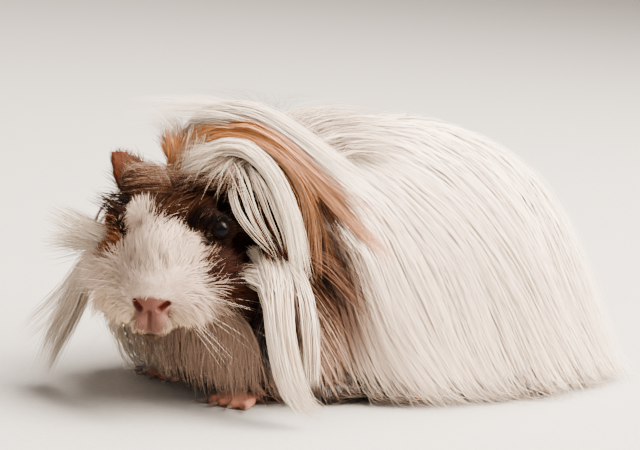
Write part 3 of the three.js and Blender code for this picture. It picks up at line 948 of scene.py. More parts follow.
BODY_STEPS, SHORT_STEPS, WHISKER_STEPS = 7, 4, 10  # points along a long hair, a short one and a whisker
BODY_CUTS = (-200, -52, 0, 52, 200)  # along Y, between neck, shoulder, flank and rump
STRANDS, STRAND_HAIRS = 3800, 3  # strands of the coat, and hairs in each
UNDER_LOCKS, LOOSE_HAIRS = 2600, 700
FACE_HAIRS, EAR_HAIRS = 22500, 1500
BODY_SOFTNESS, FACE_SOFTNESS, TRESS_SOFTNESS = 0.88, 0.75, 0.45  # how evenly each kind of hair is shaded


def body_strands(ground, coat, flesh_form, count, deeper, sink=8):
    """Long strands. Those rooted lower run deeper, by up to `sink`, under the ones from above."""
    roots, normals, spots = body_roots(ground, count)
    height = np.clip((roots[:, 2] - 8) / (BACK_Z - 18), 0, 1)
    lengths = (42 + 98 * height**0.9) * draw.uniform(0.82, 1.1, len(roots))
    layers = deeper + sink * (1 - height) ** 1.1 + 1.8 * draw.random(len(roots))
    paths = grow_long(roots, normals, lengths, layers, coat, flesh_form)
    return roots, normals, spots, layers, paths


def grow_body(ground, coat, flesh_form, material):
    """Long hair of neck, chest and trunk, in pieces from front to rump on each side."""
    roots, normals, spots, layers, strands = body_strands(ground, coat, flesh_form, STRANDS, 0.3)
    lead = draw.choice(len(roots), size=max(60, len(roots) // 11), replace=False)
    key = np.column_stack([roots, layers * 1.5])
    chief = lead[nearest(key, key[lead])]
    strands = gather_to(strands, strands[chief], draw.uniform(0.0, 0.26, len(roots)))
    hairs = strew(strands, normals, STRAND_HAIRS, 2.0, 1.8)
    hairs = shorten(hairs, draw.uniform(0.7, 1.0, len(hairs)))
    base = coat_colours(hairs, 0.6, 2.5)
    widths = draw.uniform(0.34, 0.68, len(hairs))
    roots, spots = (np.repeat(column, STRAND_HAIRS, axis=0) for column in (roots, spots))
    rows = [(hairs, base, widths, roots, spots)]
    # broad locks underneath, so that no gap shows between the hairs
    roots, _, spots, _, locks = body_strands(ground, coat, flesh_form, UNDER_LOCKS, 1.3)
    locks = shorten(locks, draw.uniform(0.6, 0.85, len(locks)))
    locks[:, :, 2] = np.maximum(locks[:, :, 2], 3.5)
    # painted shade: the locks underneath are a little darker than the hair over them
    base = coat_colours(locks, 0.6, 1.0) * 0.97
    rows.append((locks, base, draw.uniform(1.8, 3.2, len(locks)), roots, spots))
    # loose hairs over the rest
    roots, _, spots, _, loose = body_strands(ground, coat, flesh_form, LOOSE_HAIRS, -2.6, 2)
    loose = loose + 1.5 * draw.normal(size=loose.shape) * np.linspace(0, 1, BODY_STEPS)[None, :, None]
    base = coat_colours(loose, 0.6, 1.0)
    rows.append((loose, base, draw.uniform(0.2, 0.32, len(loose)), roots, spots))
    hairs, base, widths, roots, spots = (np.concatenate(column) for column in zip(*rows))
    outs = coat.outward(hairs.reshape(-1, 3)).reshape(hairs.shape)
    hair = hairs, outs, widths, tones(base, BODY_STEPS, 0.88, 1.06, 0.035), spots
    left = roots[:, 0] > SPINE_X
    for side, chosen_side in (("left", left), ("right", ~left)):
        for k, part in enumerate(("neck", "shoulder", "flank", "rump")):
            chosen = chosen_side & (roots[:, 1] >= BODY_CUTS[k]) & (roots[:, 1] < BODY_CUTS[k + 1])
            piece = [column[chosen] for column in hair]
            plant(f"coat_{part}_{side}", piece, material, BODY_SOFTNESS)


def face_comb(h, normals):
    """The lie of the face's fur in the head's frame: away from the nose, then back and down the cheeks."""
    v = h - (NOSE + [-3, 0, 1.5])
    v = unit(v)
    brow = ease(8, 18, h[:, 2])[:, None]
    v = v + brow * np.array([-0.1, 1.0, 0.25]) * ease(-12, -4, h[:, 1])[:, None]
    v[:, 2] -= 0.35 * ease(-2, -16, h[:, 2])
    for side in (-1, 1):
        ray = h - eye_place(side)
        reach = np.linalg.norm(ray, axis=1, keepdims=True)
        v = v + 1.6 * ray / reach * ease(11, 6, reach)
    v = v - normals * dot(v, normals)
    return unit(v)


def face_lengths(h):
    """How long the fur is over the head, in mm."""
    from_nose = np.linalg.norm(h - [44, 0, -12], axis=1)
    length = 2.0 + 10.5 * ease(5, 27, from_nose)
    length += 6.0 * ease(14, 26, np.abs(h[:, 1])) * ease(4, -10, h[:, 2])
    length += 3.0 * ease(-18, -26, h[:, 2]) * ease(8, 20, from_nose)
    length *= 0.25 + 0.75 * ease(7, 15, np.minimum(eye_gap(h, 1), eye_gap(h, -1)))
    length *= 1 - 0.5 * ease(16, 24, h[:, 0]) * ease(-17, -22, h[:, 2])
    length *= 1 - 0.65 * ease(-20, -24, h[:, 2]) * ease(4, 12, h[:, 0]) * ease(12, 8, np.abs(h[:, 1] - 1))
    length += 5.0 * ease(4, -8, h[:, 0]) * ease(16, 22, h[:, 2])
    return length


def short_paths(roots, normals, comb, lengths, lift, droop):
    """Fur that rises from the skin at an angle, in radians, and bends over to lie along the comb."""
    t = np.linspace(0, 1, SHORT_STEPS)[None, :, None]
    rise = np.tan(lift)[:, None, None]
    run = lengths[:, None, None]
    lie = comb[:, None] * t + normals[:, None] * (rise * (t - 0.62 * t**2)) - 0.02 * (t < 0.01)
    paths = roots[:, None] + run * lie
    paths[:, :, 2] -= (droop[:, None] * lengths[:, None]) * np.linspace(0, 1, SHORT_STEPS)[None] ** 2
    return paths


def grow_face(ground, material):
    c = ground.centres
    bare = bare_share(c)
    density = head_share(c) * (1 - bare) * (1 + 0.8 * ease(0, 25, to_head(c)[:, 0]))
    density *= 1 + 3 * ease(11, 7, eye_gap(to_head(c), 1))
    density *= 1 - near_any(c, EARS, 0.3)
    roots, normals, spots = ground.scatter(FACE_HAIRS, density)
    h = to_head(roots)
    n = len(roots)
    lead = draw.choice(n, size=n // 13, replace=False)
    chief = lead[nearest(roots, roots[lead])]
    jitter = 0.2 * draw.normal(size=(n, 3)) + 0.22 * draw.normal(size=(n, 3))[chief]
    comb = unit(face_comb(h, normals @ head_axes) + jitter) @ head_axes.T
    comb = unit(comb - normals * dot(comb, normals))
    lengths = face_lengths(h) * draw.uniform(0.7, 1.25, n)
    lift = np.clip(0.34 + 0.12 * draw.normal(size=n) + 0.14 * draw.normal(size=n)[chief], 0.08, 0.9)
    droop = 0.12 + 0.25 * ease(-8, -24, h[:, 2])
    paths = short_paths(roots, normals, comb, lengths, lift, droop)
    shift = (paths[chief][:, -1:] - paths[:, -1:]) * draw.uniform(0.15, 0.75, n)[:, None, None]
    paths = paths + shift * np.linspace(0, 1, SHORT_STEPS)[None, :, None] ** 2
    outs = np.repeat(normals[:, None], SHORT_STEPS, axis=1)
    base = markings(paths[:, 2] - normals * 2 + 1.2 * draw.normal(size=(n, 3)))
    frosted = draw.random(n) < 0.12 * (base[:, 0] < 0.1) * (h[:, 2] > 14)
    base[frosted] = mix(base[frosted], TAUPE, 0.6)
    warmer = (draw.random(n) < 0.3) & (base[:, 0] < 0.03) & (h[:, 1] > 0) & (h[:, 2] < 8)
    base[warmer] = mix(base[warmer], RUST, 0.14)
    base = base * (1 + 0.06 * draw.normal(size=(n, 1)))[chief]
    colours = tones(base, SHORT_STEPS, 0.7, 1.08, 0.06)
    widths = draw.uniform(0.2, 0.4, n) * (0.65 + 0.35 * ease(3, 9, lengths))
    hair = paths, outs, widths, colours, spots
    left = h[:, 1] > 0
    front = h[:, 0] > 14
    for part, chosen in (
        ("muzzle_left", left & front), ("muzzle_right", ~left & front),
        ("cheek_left", left & ~front), ("cheek_right", ~left & ~front),
    ):
        plant("fur_" + part, [column[chosen] for column in hair], material, FACE_SOFTNESS)


class Tresses:
    """Gathers tresses of long hair that make one piece."""

    def __init__(self, ground, steps=9):
        self.ground = ground
        self.steps = steps
        self.rows = []

    def add(
        self, points, across, depth, count, shades, wave=1.0, width=(0.26, 0.5), ends=(0.7, 1.0), wander=0.8,
        tip=None, bunch=16, firm=0.8, stagger=0.0,
    ):
        """points are in the head's frame. across and depth are half widths at root, middle and tip.

        Hairs close up in bunches of about `bunch`, by up to the share `firm`, and start one after another
        over the share `stagger` of the tress.
        """
        steps = self.steps
        count = max(4, int(count * THRIFT))
        line = curve(from_head(points), steps)
        along = unit(np.gradient(line, axis=0))
        out = unit(line - (head_centre + np.array([-8, 34, -26])))
        out = unit(out - along * dot(out, along))
        side = np.cross(along, out)
        t = np.linspace(0, 1, steps)
        a = np.interp(t, np.linspace(0, 1, len(across)), across)
        b = np.interp(t, np.linspace(0, 1, len(depth)), depth)
        radius = np.sqrt(draw.random(count))
        angle = draw.uniform(0, 2 * math.pi, count)
        turn = angle[:, None] + 0.5 * draw.normal(size=(count, 1)) * t[None]
        u, v = radius[:, None] * np.cos(turn), radius[:, None] * np.sin(turn)
        paths = line[None] + side[None] * (u * a[None])[..., None] + out[None] * (v * b[None])[..., None]
        phase = draw.uniform(0, 6.3, (count, 1, 3))
        speed = draw.uniform(2.5, 7, (count, 1, 3))
        paths = paths + wave * 0.6 * np.sin(speed * t[None, :, None] + phase) * t[None, :, None]
        stray = draw.normal(size=(count, 1, 3)) * wander
        paths = paths + stray * np.sin(t * math.pi * 0.5)[None, :, None] ** 1.5
        groups = max(1, count // bunch)
        heads = draw.choice(count, size=groups, replace=False)
        section = np.column_stack([u[:, steps // 2], v[:, steps // 2]])
        chief = heads[nearest(section, section[heads])]
        paths = gather_to(paths, paths[chief], draw.uniform(0.25 * firm, firm, count))
        paths = shorten(paths, draw.uniform(*ends, count), stagger * draw.random(count))
        near, spots = self.ground.spots_near(paths[:, 0])
        paths[:, 0] = near
        paths[:, 1] = mix(paths[:, 1], near, 0.15)
        names, odds = zip(*shades)
        pick = draw.choice(len(names), size=count, p=np.array(odds) / sum(odds))
        colours = tones(np.array(names)[pick], steps)
        if tip is not None:
            shade, share = tip
            turned = ease(0.35, 0.95, t)[None, :, None] * share * draw.uniform(0.3, 1, (count, 1, 1))
            colours = mix(colours, shade, turned)
        outs = np.repeat(out[None], count, axis=0)
        self.rows.append((paths, outs, draw.uniform(*width, count), colours, spots))

    def finish(self, name, material):
        hair = [np.concatenate(column) for column in zip(*self.rows)]
        return plant(name, hair, material, TRESS_SOFTNESS)


FAIR = ((WHITE, 8), (CREAM, 1), (BEIGE, 1))
WARM = ((GINGER, 5), (GINGER * 1.25, 4), (RUST, 1), (BEIGE, 1))
DARK = ((BROWN, 6), (SOOT, 3), (TAUPE, 2))
BLACK = ((SOOT, 4), (BROWN, 2))
RUSTY = ((RUST, 6), (BROWN, 1), (BEIGE, 1))
PALE = ((WHITE, 4), (CREAM, 3), (BEIGE, 3))
FROST = ((WHITE, 4), (BEIGE, 2))
FINE = (0.2, 0.34)
THIN = (0.15, 0.26)


def between(first, second, share):
    return [tuple(mix(np.array(a, float), np.array(b, float), share)) for a, b in zip(first, second)]


def grow_crown(ground, material):
    """The white hair of crown and nape."""
    white = Tresses(ground, 12)
    # the white band in front, from the crown over the left brow and down
    white.add(
        [(-6, 2, 22), (-7, 6, 33), (-8, 15, 40), (-6, 28, 41), (-3, 39, 33), (2, 44.5, 26), (5, 50, 14),
         (7, 53, 1), (8, 56, -12)],
        (8, 5, 3.6, 3.8, 5.5), (3, 2.5, 2.5, 3), 430, FAIR, wander=1.3, ends=(0.55, 1.0), bunch=14,
        firm=0.9, width=(0.22, 0.42), stagger=0.12,
    )
    # a curtain of thin strands that hangs from it before the dark hollow
    near = [(-6, 14, 38), (-3, 21, 37), (3, 23, 26), (8, 27, 17), (11, 35, 9), (12, 45, 1)]
    far = [(-6, 26, 38), (-2, 31, 35), (4, 39, 27), (7, 44, 17), (9, 48, 7), (9, 50, -4)]
    for share in (0, 0.07, 0.13, 0.3, 0.36, 0.55, 0.72, 0.8, 0.94, 1):
        white.add(
            between(near, far, share), (2.0, 0.6, 0.6, 1.0), (1.5, 0.6, 0.6), 6, ((WHITE, 6), (BEIGE, 1)),
            wave=1.2, width=(0.18, 0.32), wander=0.5, ends=(0.6, 1.0), bunch=6, firm=0.85, stagger=0.2,
        )
    white.add(
        between(near, far, 0.5), (8, 6, 6, 5), (1.5, 2, 2), 16, FROST, wave=2.2, width=THIN, wander=1.6,
        ends=(0.6, 1.0), firm=0.2,
    )
    # the outer white hair over the crown
    white.add(
        [(-22, 2, 22), (-23, 0, 38), (-24, 4, 48), (-24, 16, 52), (-23, 31, 50), (-20, 48, 41),
         (-18, 65, 30), (-22, 80, 18)],
        (8, 7, 8, 12), (3, 3, 4, 5), 760, FAIR, wander=1.8, bunch=20, firm=0.95, stagger=0.25,
    )
    # hair that falls over the crown to the other side
    white.add(
        [(-22, 22, 22), (-24, 30, 43), (-22, 19, 50.5), (-20, -5, 51.5), (-18, -28, 49)], (7, 8, 8, 10),
        (3, 3, 4, 5), 400, FAIR, wave=2.2, width=FINE, wander=2.6, ends=(0.45, 1.0), stagger=0.3,
    )
    # white hair behind the tuft, and over the nape to the back
    white.add(
        [(-18, -2, 22), (-18, -3, 36), (-18, -7, 46), (-19, -16, 50)], (7, 7, 8), (4, 4, 5), 200, PALE,
        wave=2.0, wander=2.0, ends=(0.5, 1.0),
    )
    white.add(
        [(-13, 1, 22), (-13, 3, 36), (-14, 3, 44), (-16, 1, 49)], (4, 5, 6), (2, 3, 3), 150,
        ((WHITE, 4), (CREAM, 3), (BEIGE, 2)), wave=2.0, wander=1.6, ends=(0.5, 1.0),
    )
    for aside, drop in ((-12, 4), (2, 0), (15, 2), (27, 8)):
        ridge = to_head([(aside + 4, -64, 106), (aside + 3, -52, 112 - drop), (aside, -32, 115.5 - drop),
                         (aside, -8, 115 - 1.3 * drop), (1.15 * aside, 18, 110 - 1.6 * drop)])
        white.add(
            ridge, (8, 9, 10, 12), (3, 4, 4, 3), 115, ((WHITE, 4), (CREAM, 4), (BEIGE, 5), (TAUPE, 2)),
            wave=2.0, wander=2.2, ends=(0.5, 1.0), firm=0.7, stagger=0.45,
        )
    # loose curled hair over crown and nape
    for middle_part, tip in (((-34, 24, 55), (-30, 4, 61)), ((-38, 40, 56), (-40, 56, 57)),
                             ((-28, 14, 55), (-24, -6, 59)), ((-40, 30, 55), (-46, 22, 62))):
        white.add(
            [(-36, 28, 24), (-37, 32, 44), middle_part, tip], (6, 7, 8, 9), (4, 5, 6), 45,
            ((TAUPE, 5), (BROWN, 5)), wave=4.5, width=(0.18, 0.3), wander=3.5, ends=(0.5, 1.0), firm=0.2,
        )
    white.finish("mantle_white", material)


def grow_fringe(ground, material):
    """The frosted fringe over the forehead, and the dark hair under it and down the neck."""
    fringe = Tresses(ground, 6)
    ends = [(-8, -3, 37), (-5, -2, 33), (-1, -1, 30), (2, 1, 28), (4, 5, 27), (6, 10, 25), (7, 15, 24)]
    for k, end in enumerate([*ends, (6, 20, 24)]):
        start = 13 + 1.8 * k
        bend = mix(np.array([-4, start - 1, 39.0]), np.array(end, float), 0.55)
        shades = ((WHITE, 7 - 0.7 * k), (BEIGE, 3), (TAUPE, 1 + 0.3 * k), (BROWN, 0.15 * k))
        fringe.add(
            [(-9, start, 23), (-9, start + 2, 35), (-6, start + 1, 39 - 0.3 * k), bend, end],
            (3, 4, 4, 5), (2, 2, 3), 95, shades, wave=2.2, wander=2.2, width=THIN, ends=(0.3, 1.0),
            firm=0.6,
        )
    fringe.add(
        [(-9, 18, 23), (-9, 20, 36), (-3, 18, 37), (6, 13, 28), (9, 12, 20)], (4, 5, 8, 10), (2, 2, 3),
        22, ((WHITE, 3), (BEIGE, 2)), wave=2.6, wander=3.0, width=THIN, ends=(0.6, 1.0), firm=0.1,
    )
    for k in range(8):
        left = 1 + 3.6 * k
        fringe.add(
            [(-3, left + 5, 23), (0, left + 3, 28), (4, left - 2, 28), (6, left - 8, 25.5)], (3, 4, 5),
            (2, 3, 3), 80, ((BROWN, 6), (SOOT, 2), (TAUPE, 3)), wave=1.4, wander=1.8, ends=(0.4, 0.9),
            width=FINE,
        )
    # the brown mop between the right ear and the fringe, combed to the left
    for k in range(5):
        fringe.add(
            [(-6 + k, -22, 22), (-5 + 2 * k, -20, 29.5 - 2.2 * k), (-3 + 2 * k, -10, 30 - 1.6 * k),
             (-1 + 2 * k, 3, 32 - 2 * k)],
            (3, 4, 5), (2, 2.5, 3), 130, ((TAUPE, 3 + k), (BROWN, 1 + 2 * k), (BEIGE, 5 - k), (RUST, 1)),
            wave=1.5, wander=1.6, width=THIN, ends=(0.4, 1.0),
        )
    for k in range(4):
        left = -14 + 3 * k
        fringe.add(
            [(-4, left + 4, 22), (-4, left + 1, 27), (-5, left - 5, 30), (-6, left - 11, 31)], (4, 4, 5),
            (2, 3, 3), 90, ((TAUPE, 4), (BROWN, 3), (BEIGE, 3), (RUST, 1)), wave=1.5, wander=1.8,
            width=THIN, ends=(0.5, 1.0),
        )
    # the dark hollow behind the curtain
    fringe.add(
        [(-8, 16, 22), (-6, 26, 31), (-1, 33, 25), (3, 40, 10), (5, 45, -4), (6, 47, -12)], (6, 8, 8, 7),
        (2, 2, 2), 560, ((SOOT, 6), (BROWN, 3), (RUST, 1)), width=(0.3, 0.6), ends=(0.7, 1.0),
    )
    fringe.add(
        [(-13, 30, 27), (-11, 44, 31), (-7, 52, 20), (-5, 56, 7), (-4, 57, -9)], (6, 7, 8, 7), (2, 2, 2),
        380, DARK, width=(0.3, 0.6), ends=(0.6, 1.0),
    )
    # the black and rust tufts beside the right eye
    for shades, points in (
        (BLACK, [(12, -17, 14), (12, -21, 16), (9, -27, 18.5), (6, -34, 20)]),
        (BLACK, [(6, -17, 18), (7, -22, 20), (5, -29, 20.5)]),
        (RUSTY, [(9, -18, 9), (13, -22, 11), (11, -27, 12)]),
        (RUSTY, [(9, -18, 11), (10, -24, 13), (8, -30, 13)]),
        (RUSTY, [(11, -18, 3), (14, -21, 6), (12, -26, 6)]),
    ):
        fringe.add(
            points, (2.5, 3, 2), (2, 2.5, 2), 110, shades, wander=1.6, width=THIN, ends=(0.4, 1.0),
            firm=0.5,
        )
    # dark hair over the root of the left lock
    fringe.add(
        [(2, 35, 11), (6, 40, 7), (10, 44, 1), (13, 47, -5)], (3, 4, 3.5), (1.5, 2, 1.5), 120, DARK,
        wave=1.5, wander=1.6, width=FINE, ends=(0.3, 1.0), firm=0.4,
    )
    # dark hair between the ginger wisps
    fringe.add(
        [(-13, 34, 27), (-11, 48, 33), (-7, 59, 22), (-7, 67, 10), (-9, 71, 1)], (4, 4, 6, 8), (2, 2, 2),
        300, DARK, width=(0.3, 0.55), ends=(0.6, 1.0), wander=1.4,
    )
    # slanting streaks low on the neck, behind the left lock
    for top, foot, shades in (
        ((61, -74, 66), (56, -38, 30), DARK),
        ((61, -68, 72), (58, -28, 38), ((TAUPE, 5), (BROWN, 4), (RUST, 1))),
        ((61, -70, 56), (57, -40, 18), ((TAUPE, 5), (BROWN, 2), (BEIGE, 2))),
        ((60, -66, 44), (56, -42, 8), ((TAUPE, 5), (BROWN, 1), (BEIGE, 3))),
    ):
        fringe.add(
            to_head(np.linspace(top, foot, 4)), (5, 7, 7), (1, 1.5, 1.5), 75, shades, wave=1.5,
            wander=1.8, ends=(0.45, 1.0), bunch=7, firm=0.6,
        )
    fringe.finish("mantle_fringe", material)


def grow_ginger(ground, material):
    """The ginger band from the crown over the left shoulder."""
    ginger = Tresses(ground, 12)
    ginger.add(
        [(-12, -5, 22), (-14, -2, 34), (-15, 3, 42), (-16, 10, 46), (-18, 25, 47), (-12, 41, 42),
         (-8, 58, 27), (-12, 75, 8), (-18, 91, -7)],
        (5, 4, 5, 6.5), (2.5, 3, 2.5, 2), 640, WARM, wander=1.0, bunch=14, firm=0.95, ends=(0.75, 1.0),
        tip=(RUST, 0.85), width=(0.3, 0.55),
    )
    ginger.add(
        [(-14, 0, 24), (-16, 20, 48), (-12, 42, 43), (-9, 63, 27), (-19, 87, 8.6)], (4, 4, 4.5, 3.5),
        (2.5, 2, 2), 230, WARM, wander=1.0, bunch=22, firm=0.95, ends=(0.7, 1.0), tip=(RUST, 0.85),
    )
    # the inner strands, which part in wisps over the dark hair below
    for k, tip in enumerate([(6, 54, -16), (3, 59, -15), (0, 63, -12), (-5, 68, -8), (-11, 77, -5)]):
        bend = mix(np.array([-2.0 - k, 56 + 2 * k, 6]), np.array(tip, float), 0.4)
        ginger.add(
            [(-10, 0, 22), (-13, 4, 36), (-14, 16, 44), (-11, 32, 43), (-5, 46 + k, 34),
             (-2 - k, 54 + 1.4 * k, 20), bend, tip],
            (4, 3.5, 3, 3.5, 2.5), (2, 2, 2), 78, WARM, wander=1.0, tip=(BROWN, 0.95), bunch=20,
            firm=0.95, width=FINE, ends=(0.6, 1.0),
        )
    # the upright tuft at the crown
    for ahead, left, up in ((-12, -8, 46), (-13, -5, 48), (-13, 0, 44), (-13, 6, 46)):
        ginger.add(
            [(-12, -2, 21), (-12, -2, 33), (ahead, left, up)], (4, 4, 5), (3, 3, 4), 110, WARM,
            ends=(0.65, 1.0), wander=1.2,
        )
    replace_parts(ginger.finish("mantle_ginger", material), "mantle")


def grow_locks(ground, material):
    """The long locks before both ears, the hair of the neck's right side, and the bib."""
    left = Tresses(ground)
    left.add(
        [(2, 40, 4), (8, 43, -2.5), (13, 45.5, -9), (17.5, 47, -16), (24, 50, -31), (25.5, 53, -42),
         (26, 58, -54), (24, 68, -60.5)],
        (6, 7, 5.5, 5, 3.5), (4, 4, 4, 4, 3), 820, FAIR, wave=0.8, bunch=34, firm=0.75, wander=1.6,
        ends=(0.55, 1.0), stagger=0.2,
    )
    left.add(
        [(0, 44, 0), (4, 50, -5), (9, 55, -13), (15, 59, -25), (19.5, 61.5, -42), (20, 62.5, -51)],
        (3, 4, 4.5, 3.5), (3, 3, 3), 340, ((WHITE, 5), (BEIGE, 3), (TAUPE, 2)), wave=0.8, bunch=30,
        firm=0.9, stagger=0.35,
    )
    left.add(
        [(4, 46, -2), (12, 52, -14), (18, 56, -30), (21, 59, -46)], (2, 2.5, 3.5), (2, 2, 2), 170,
        ((BROWN, 3), (TAUPE, 3)), wave=0.8,
    )
    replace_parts(left.finish("lock_left_hair", material), "lock_left")
    right = Tresses(ground)
    right.add(
        [(4, -24, -4), (0, -34, -10), (-2, -41, -27), (-2, -49, -44), (-1, -56, -62)], (5, 6, 8, 10),
        (4, 5, 5, 4), 620, FAIR, wave=1.5, ends=(0.75, 1.0), wander=2.0, bunch=40, firm=0.95,
    )
    right.add(
        [(2, -24, -4), (-1, -34, -8), (-2, -44, -24), (-1, -57, -38), (-1, -68, -47)], (5, 6, 8, 8),
        (4, 5, 5, 4), 240, FAIR, wave=1.5, ends=(0.6, 1.0), wander=2.0, width=FINE,
    )
    for spread, up in ((56, 12), (58, 2), (59, -8)):
        right.add(
            [(-4, -24, -2), (-5, -34, -1 + 0.2 * up), (-4, -46, 0.6 * up), (-3, -spread, up)], (5, 6, 7),
            (4, 4, 4), 190, FAIR, wave=2.0, width=FINE, wander=2.0, ends=(0.5, 1.0),
        )
    # hair down the right side of the neck, behind the cheek
    for back in (0, 9, 18):
        line = [(-20, -78 + back, 94), (-37, -84 + back, 80), (-46, -90 + back, 58), (-47, -94 + back, 34),
                (-42, -96 + back, 14)]
        right.add(
            to_head(line), (7, 8, 9, 9), (1.5, 2, 2), 240, ((WHITE, 6), (CREAM, 3), (BEIGE, 2)), wave=2.0,
            wander=2.2, ends=(0.5, 1.0), firm=0.5, stagger=0.4, bunch=10,
        )
    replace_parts(right.finish("lock_right_hair", material), "lock_right")
    # the soft bib under the chin, down over the near forefoot, in painted shade that grows lighter towards
    # the left lock
    bib = Tresses(ground, 7)
    for k in range(6):
        left_side = -12 + 8.4 * k
        end = -49 - 2.4 * k
        bib_shade = PAINTED_SHADE_UNDER_CHIN * (0.75 + 0.1 * k)
        front = min(15, 6 + 3 * k)
        bib.add(
            [(front, left_side, -27), (front, left_side + 1, -37),
             (front, left_side + 2, 0.5 * (end - 38)), (front - 1, left_side + 4, end)],
            (7, 8, 7), (3, 3, 3), 280, ((bib_shade, 6), (bib_shade * 1.2, 2), (bib_shade * 0.8, 2)), wave=1.8,
            wander=2.4, width=(0.2, 0.36), ends=(0.25, 1.0), bunch=10, firm=0.4,
        )
    bib.finish("bib_hair", material)


def grow_ear_down(ground, material):
    """Short fine hair over the petals of the ears."""
    c = ground.centres
    on_ears = near_any(c, EARS, 0.5) * ease(20, 24, to_head(c)[:, 2])
    roots, normals, spots = ground.scatter(EAR_HAIRS, on_ears)
    n = len(roots)
    up = np.tile(head_axes @ np.array([-0.3, 0, 1.0]), (n, 1)) + 0.3 * draw.normal(size=(n, 3))
    comb = unit(up - normals * dot(up, normals))
    lengths, lift = draw.uniform(1.8, 4.0, n), draw.uniform(0.2, 0.5, n)
    paths = short_paths(roots, normals, comb, lengths, lift, np.zeros(n))
    outs = np.repeat(normals[:, None], SHORT_STEPS, axis=1)
    colours = tones(np.tile(EAR_BROWN * 1.15, (n, 1)), SHORT_STEPS)
    hair = paths, outs, draw.uniform(0.2, 0.32, n), colours, spots
    plant("ear_down", hair, material, FACE_SOFTNESS)


def grow_whiskers(ground, material):
    paths, widths = [], []
    steps = WHISKER_STEPS
    for side in (-1, 1):
        for row in range(4):
            for place in range(6):
                root = np.array([31 - 2.6 * place, (7.5 + 1.1 * place) * side, -11 - 2.6 * row])
                aim = unit(np.array([0.15 - 0.13 * place, (1.0 - 0.05 * row) * side, 0.25 - 0.28 * row]))
                aim = unit(aim + 0.12 * draw.normal(size=3))
                length = draw.uniform(24, 34) + 3.2 * place
                t = np.linspace(0, 1, steps)[:, None]
                line = root + aim * length * t - np.array([5.0, 0, 8.0]) * t**2
                paths.append(from_head(line))
                widths.append(draw.uniform(0.16, 0.21))
    paths = np.array(paths)
    paths[:, 0], spots = ground.spots_near(paths[:, 0])
    outs, colours = (np.tile(value, (len(paths), steps, 1)) for value in ([0, 0, 1.0], WHITE))
    plant("whiskers", (paths, outs, np.array(widths), colours, spots), material)


# ------------------------------------------------------------------ eyes
def make_eye(node, side, material):
    """A glossy ball with a clear swell over the iris."""
    centre = middle(node)
    bpy.ops.mesh.primitive_uv_sphere_add(
        segments=48, ring_count=32, radius=EYE_RADIUS * MM, location=centre * MM
    )
    ball = bpy.context.object
    ball.name = ball.data.name = node + "_ball"
    settle()
    points = places(ball.data)
    gaze = head_axes @ EYE_GAZE[side]
    ahead = unit(points - centre) @ gaze
    points += gaze * (0.5 * ease(0.62, 0.92, ahead))[:, None]
    put_places(ball.data, points)
    colour = mix(EYE_DARK, IRIS, ease(0.60, 0.72, ahead)[:, None])
    colour_points(ball.data, mix(colour, PUPIL, ease(0.86, 0.89, ahead)[:, None]))
    bpy.ops.object.shade_smooth()
    dress(ball, material)
    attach(ball, "root")
    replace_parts(ball, node)


def eye_material():
    material, nodes, links, shader = new_material("wet_eye")
    links.new(attribute_colour(nodes), shader.inputs["Base Color"])
    set_inputs(shader, Roughness=0.1, Specular_IOR_Level=0.03, Coat_Weight=0.05, Coat_Roughness=0.03)
    return material


# ------------------------------------------------------------------ studio
def make_floor():
    bpy.ops.mesh.primitive_plane_add(size=6, location=(0, 0, 0))
    floor = bpy.context.object
    floor.name = "studio_floor"
    dress(floor, plain_material("pale_floor", FLOOR_GREY, roughness=0.7, specular=0.2))


def area_light(name, place, target, size, power, colour):
    data = bpy.data.lights.new(name, "AREA")
    data.shape = "DISK"
    data.size = size
    data.energy = power
    data.color = colour
    light = bpy.data.objects.new(name, data)
    bpy.context.collection.objects.link(light)
    light.location = place
    light.rotation_euler = (Vector(target) - Vector(place)).to_track_quat("-Z", "Y").to_euler()


def around(azimuth, elevation, distance):
    """A place round the model: azimuth 0 is before its nose end, 90 to its left."""
    a, e = math.radians(azimuth), math.radians(elevation)
    return Vector((math.sin(a) * math.cos(e), -math.cos(a) * math.cos(e), math.sin(e))) * distance


def make_lights():
    target = (0, 0, 0.06)
    for name, azimuth, elevation, distance, size, power, colour in (
        ("key_softbox", 134, 50, 1.5, 1.3, 145, (1.0, 0.90, 0.79)),
        ("back_softbox", 188, 62, 1.6, 1.4, 150, (1.0, 0.90, 0.79)),
        ("fill_softbox", 30, 32, 1.7, 1.2, 6, (1.0, 0.94, 0.88)),
    ):
        area_light(name, around(azimuth, elevation, distance), target, size, power, colour)
    world = bpy.data.worlds.new("pale_room")
    bpy.context.scene.world = world
    world.use_nodes = True
    set_inputs(world.node_tree.nodes["Background"], Color=ROOM_LIGHT, Strength=0.38)


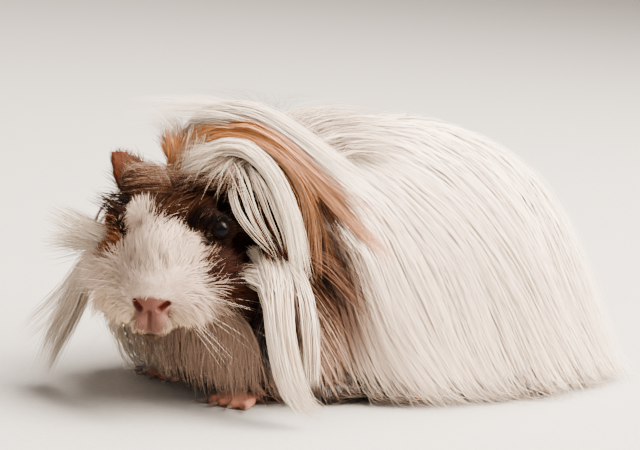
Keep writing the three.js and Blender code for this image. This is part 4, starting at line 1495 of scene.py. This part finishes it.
CAMERA_AZIMUTH, CAMERA_ELEVATION, CAMERA_ROLL = 56, 9.3, 4.7
CAMERA_AWAY, CAMERA_LENS = 1.2, 157.4
CAMERA_TARGET = (-0.0005, -0.0228, 0.0672)


def make_camera():
    data = bpy.data.cameras.new("camera")
    data.lens = CAMERA_LENS
    data.sensor_width = 36
    camera = bpy.data.objects.new("camera", data)
    bpy.context.collection.objects.link(camera)
    back = around(CAMERA_AZIMUTH, CAMERA_ELEVATION, 1)
    camera.location = Vector(CAMERA_TARGET) + back * CAMERA_AWAY
    level = back.to_track_quat("Z", "Y")
    camera.rotation_mode = "QUATERNION"
    camera.rotation_quaternion = level @ Euler((0, 0, math.radians(CAMERA_ROLL))).to_quaternion()
    bpy.context.scene.camera = camera


# ------------------------------------------------------------------ the whole animal
def main():
    variation = tone_group()
    materials = {
        name: hair_material(label, variation, cloud, streak, depth, sheen, specular)
        for name, label, cloud, streak, depth, sheen, specular in (
            ("white", "white_hair", 45, 700, 0.16, 0.12, 0.3),
            ("ginger", "ginger_hair", 70, 700, 0.25, 0.12, 0.45),
            ("fur", "face_fur", 80, 900, 0.2, 0.0, 0.02),
        )
    }
    make_camera()
    make_lights()
    make_floor()
    envelope = make_envelope()
    coat = Form(envelope)
    bpy.data.objects.remove(envelope)
    skin = make_skin(coat)
    paint_skin(skin)
    dress(skin, skin_material("skin_under_fur", variation, streak=1400, height=0.25))
    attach(skin, "root")
    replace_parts(skin, "head", "neck", "trunk", *BARE)
    ground = Ground(skin)
    flesh_form = Form(skin)
    grow_body(ground, coat, flesh_form, materials["white"])
    grow_face(ground, materials["fur"])
    grow_crown(ground, materials["white"])
    grow_fringe(ground, materials["fur"])
    grow_ginger(ground, materials["ginger"])
    grow_locks(ground, materials["white"])
    grow_ear_down(ground, materials["fur"])
    grow_whiskers(ground, materials["white"])
    wet = eye_material()
    make_eye("eye_left", 1, wet)
    make_eye("eye_right", -1, wet)
    horn = plain_material("claw_horn", CLAW_HORN, roughness=0.4, coat=0.1)
    for name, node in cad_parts.items():
        if name.startswith("claw"):
            dress(node, horn)


main()
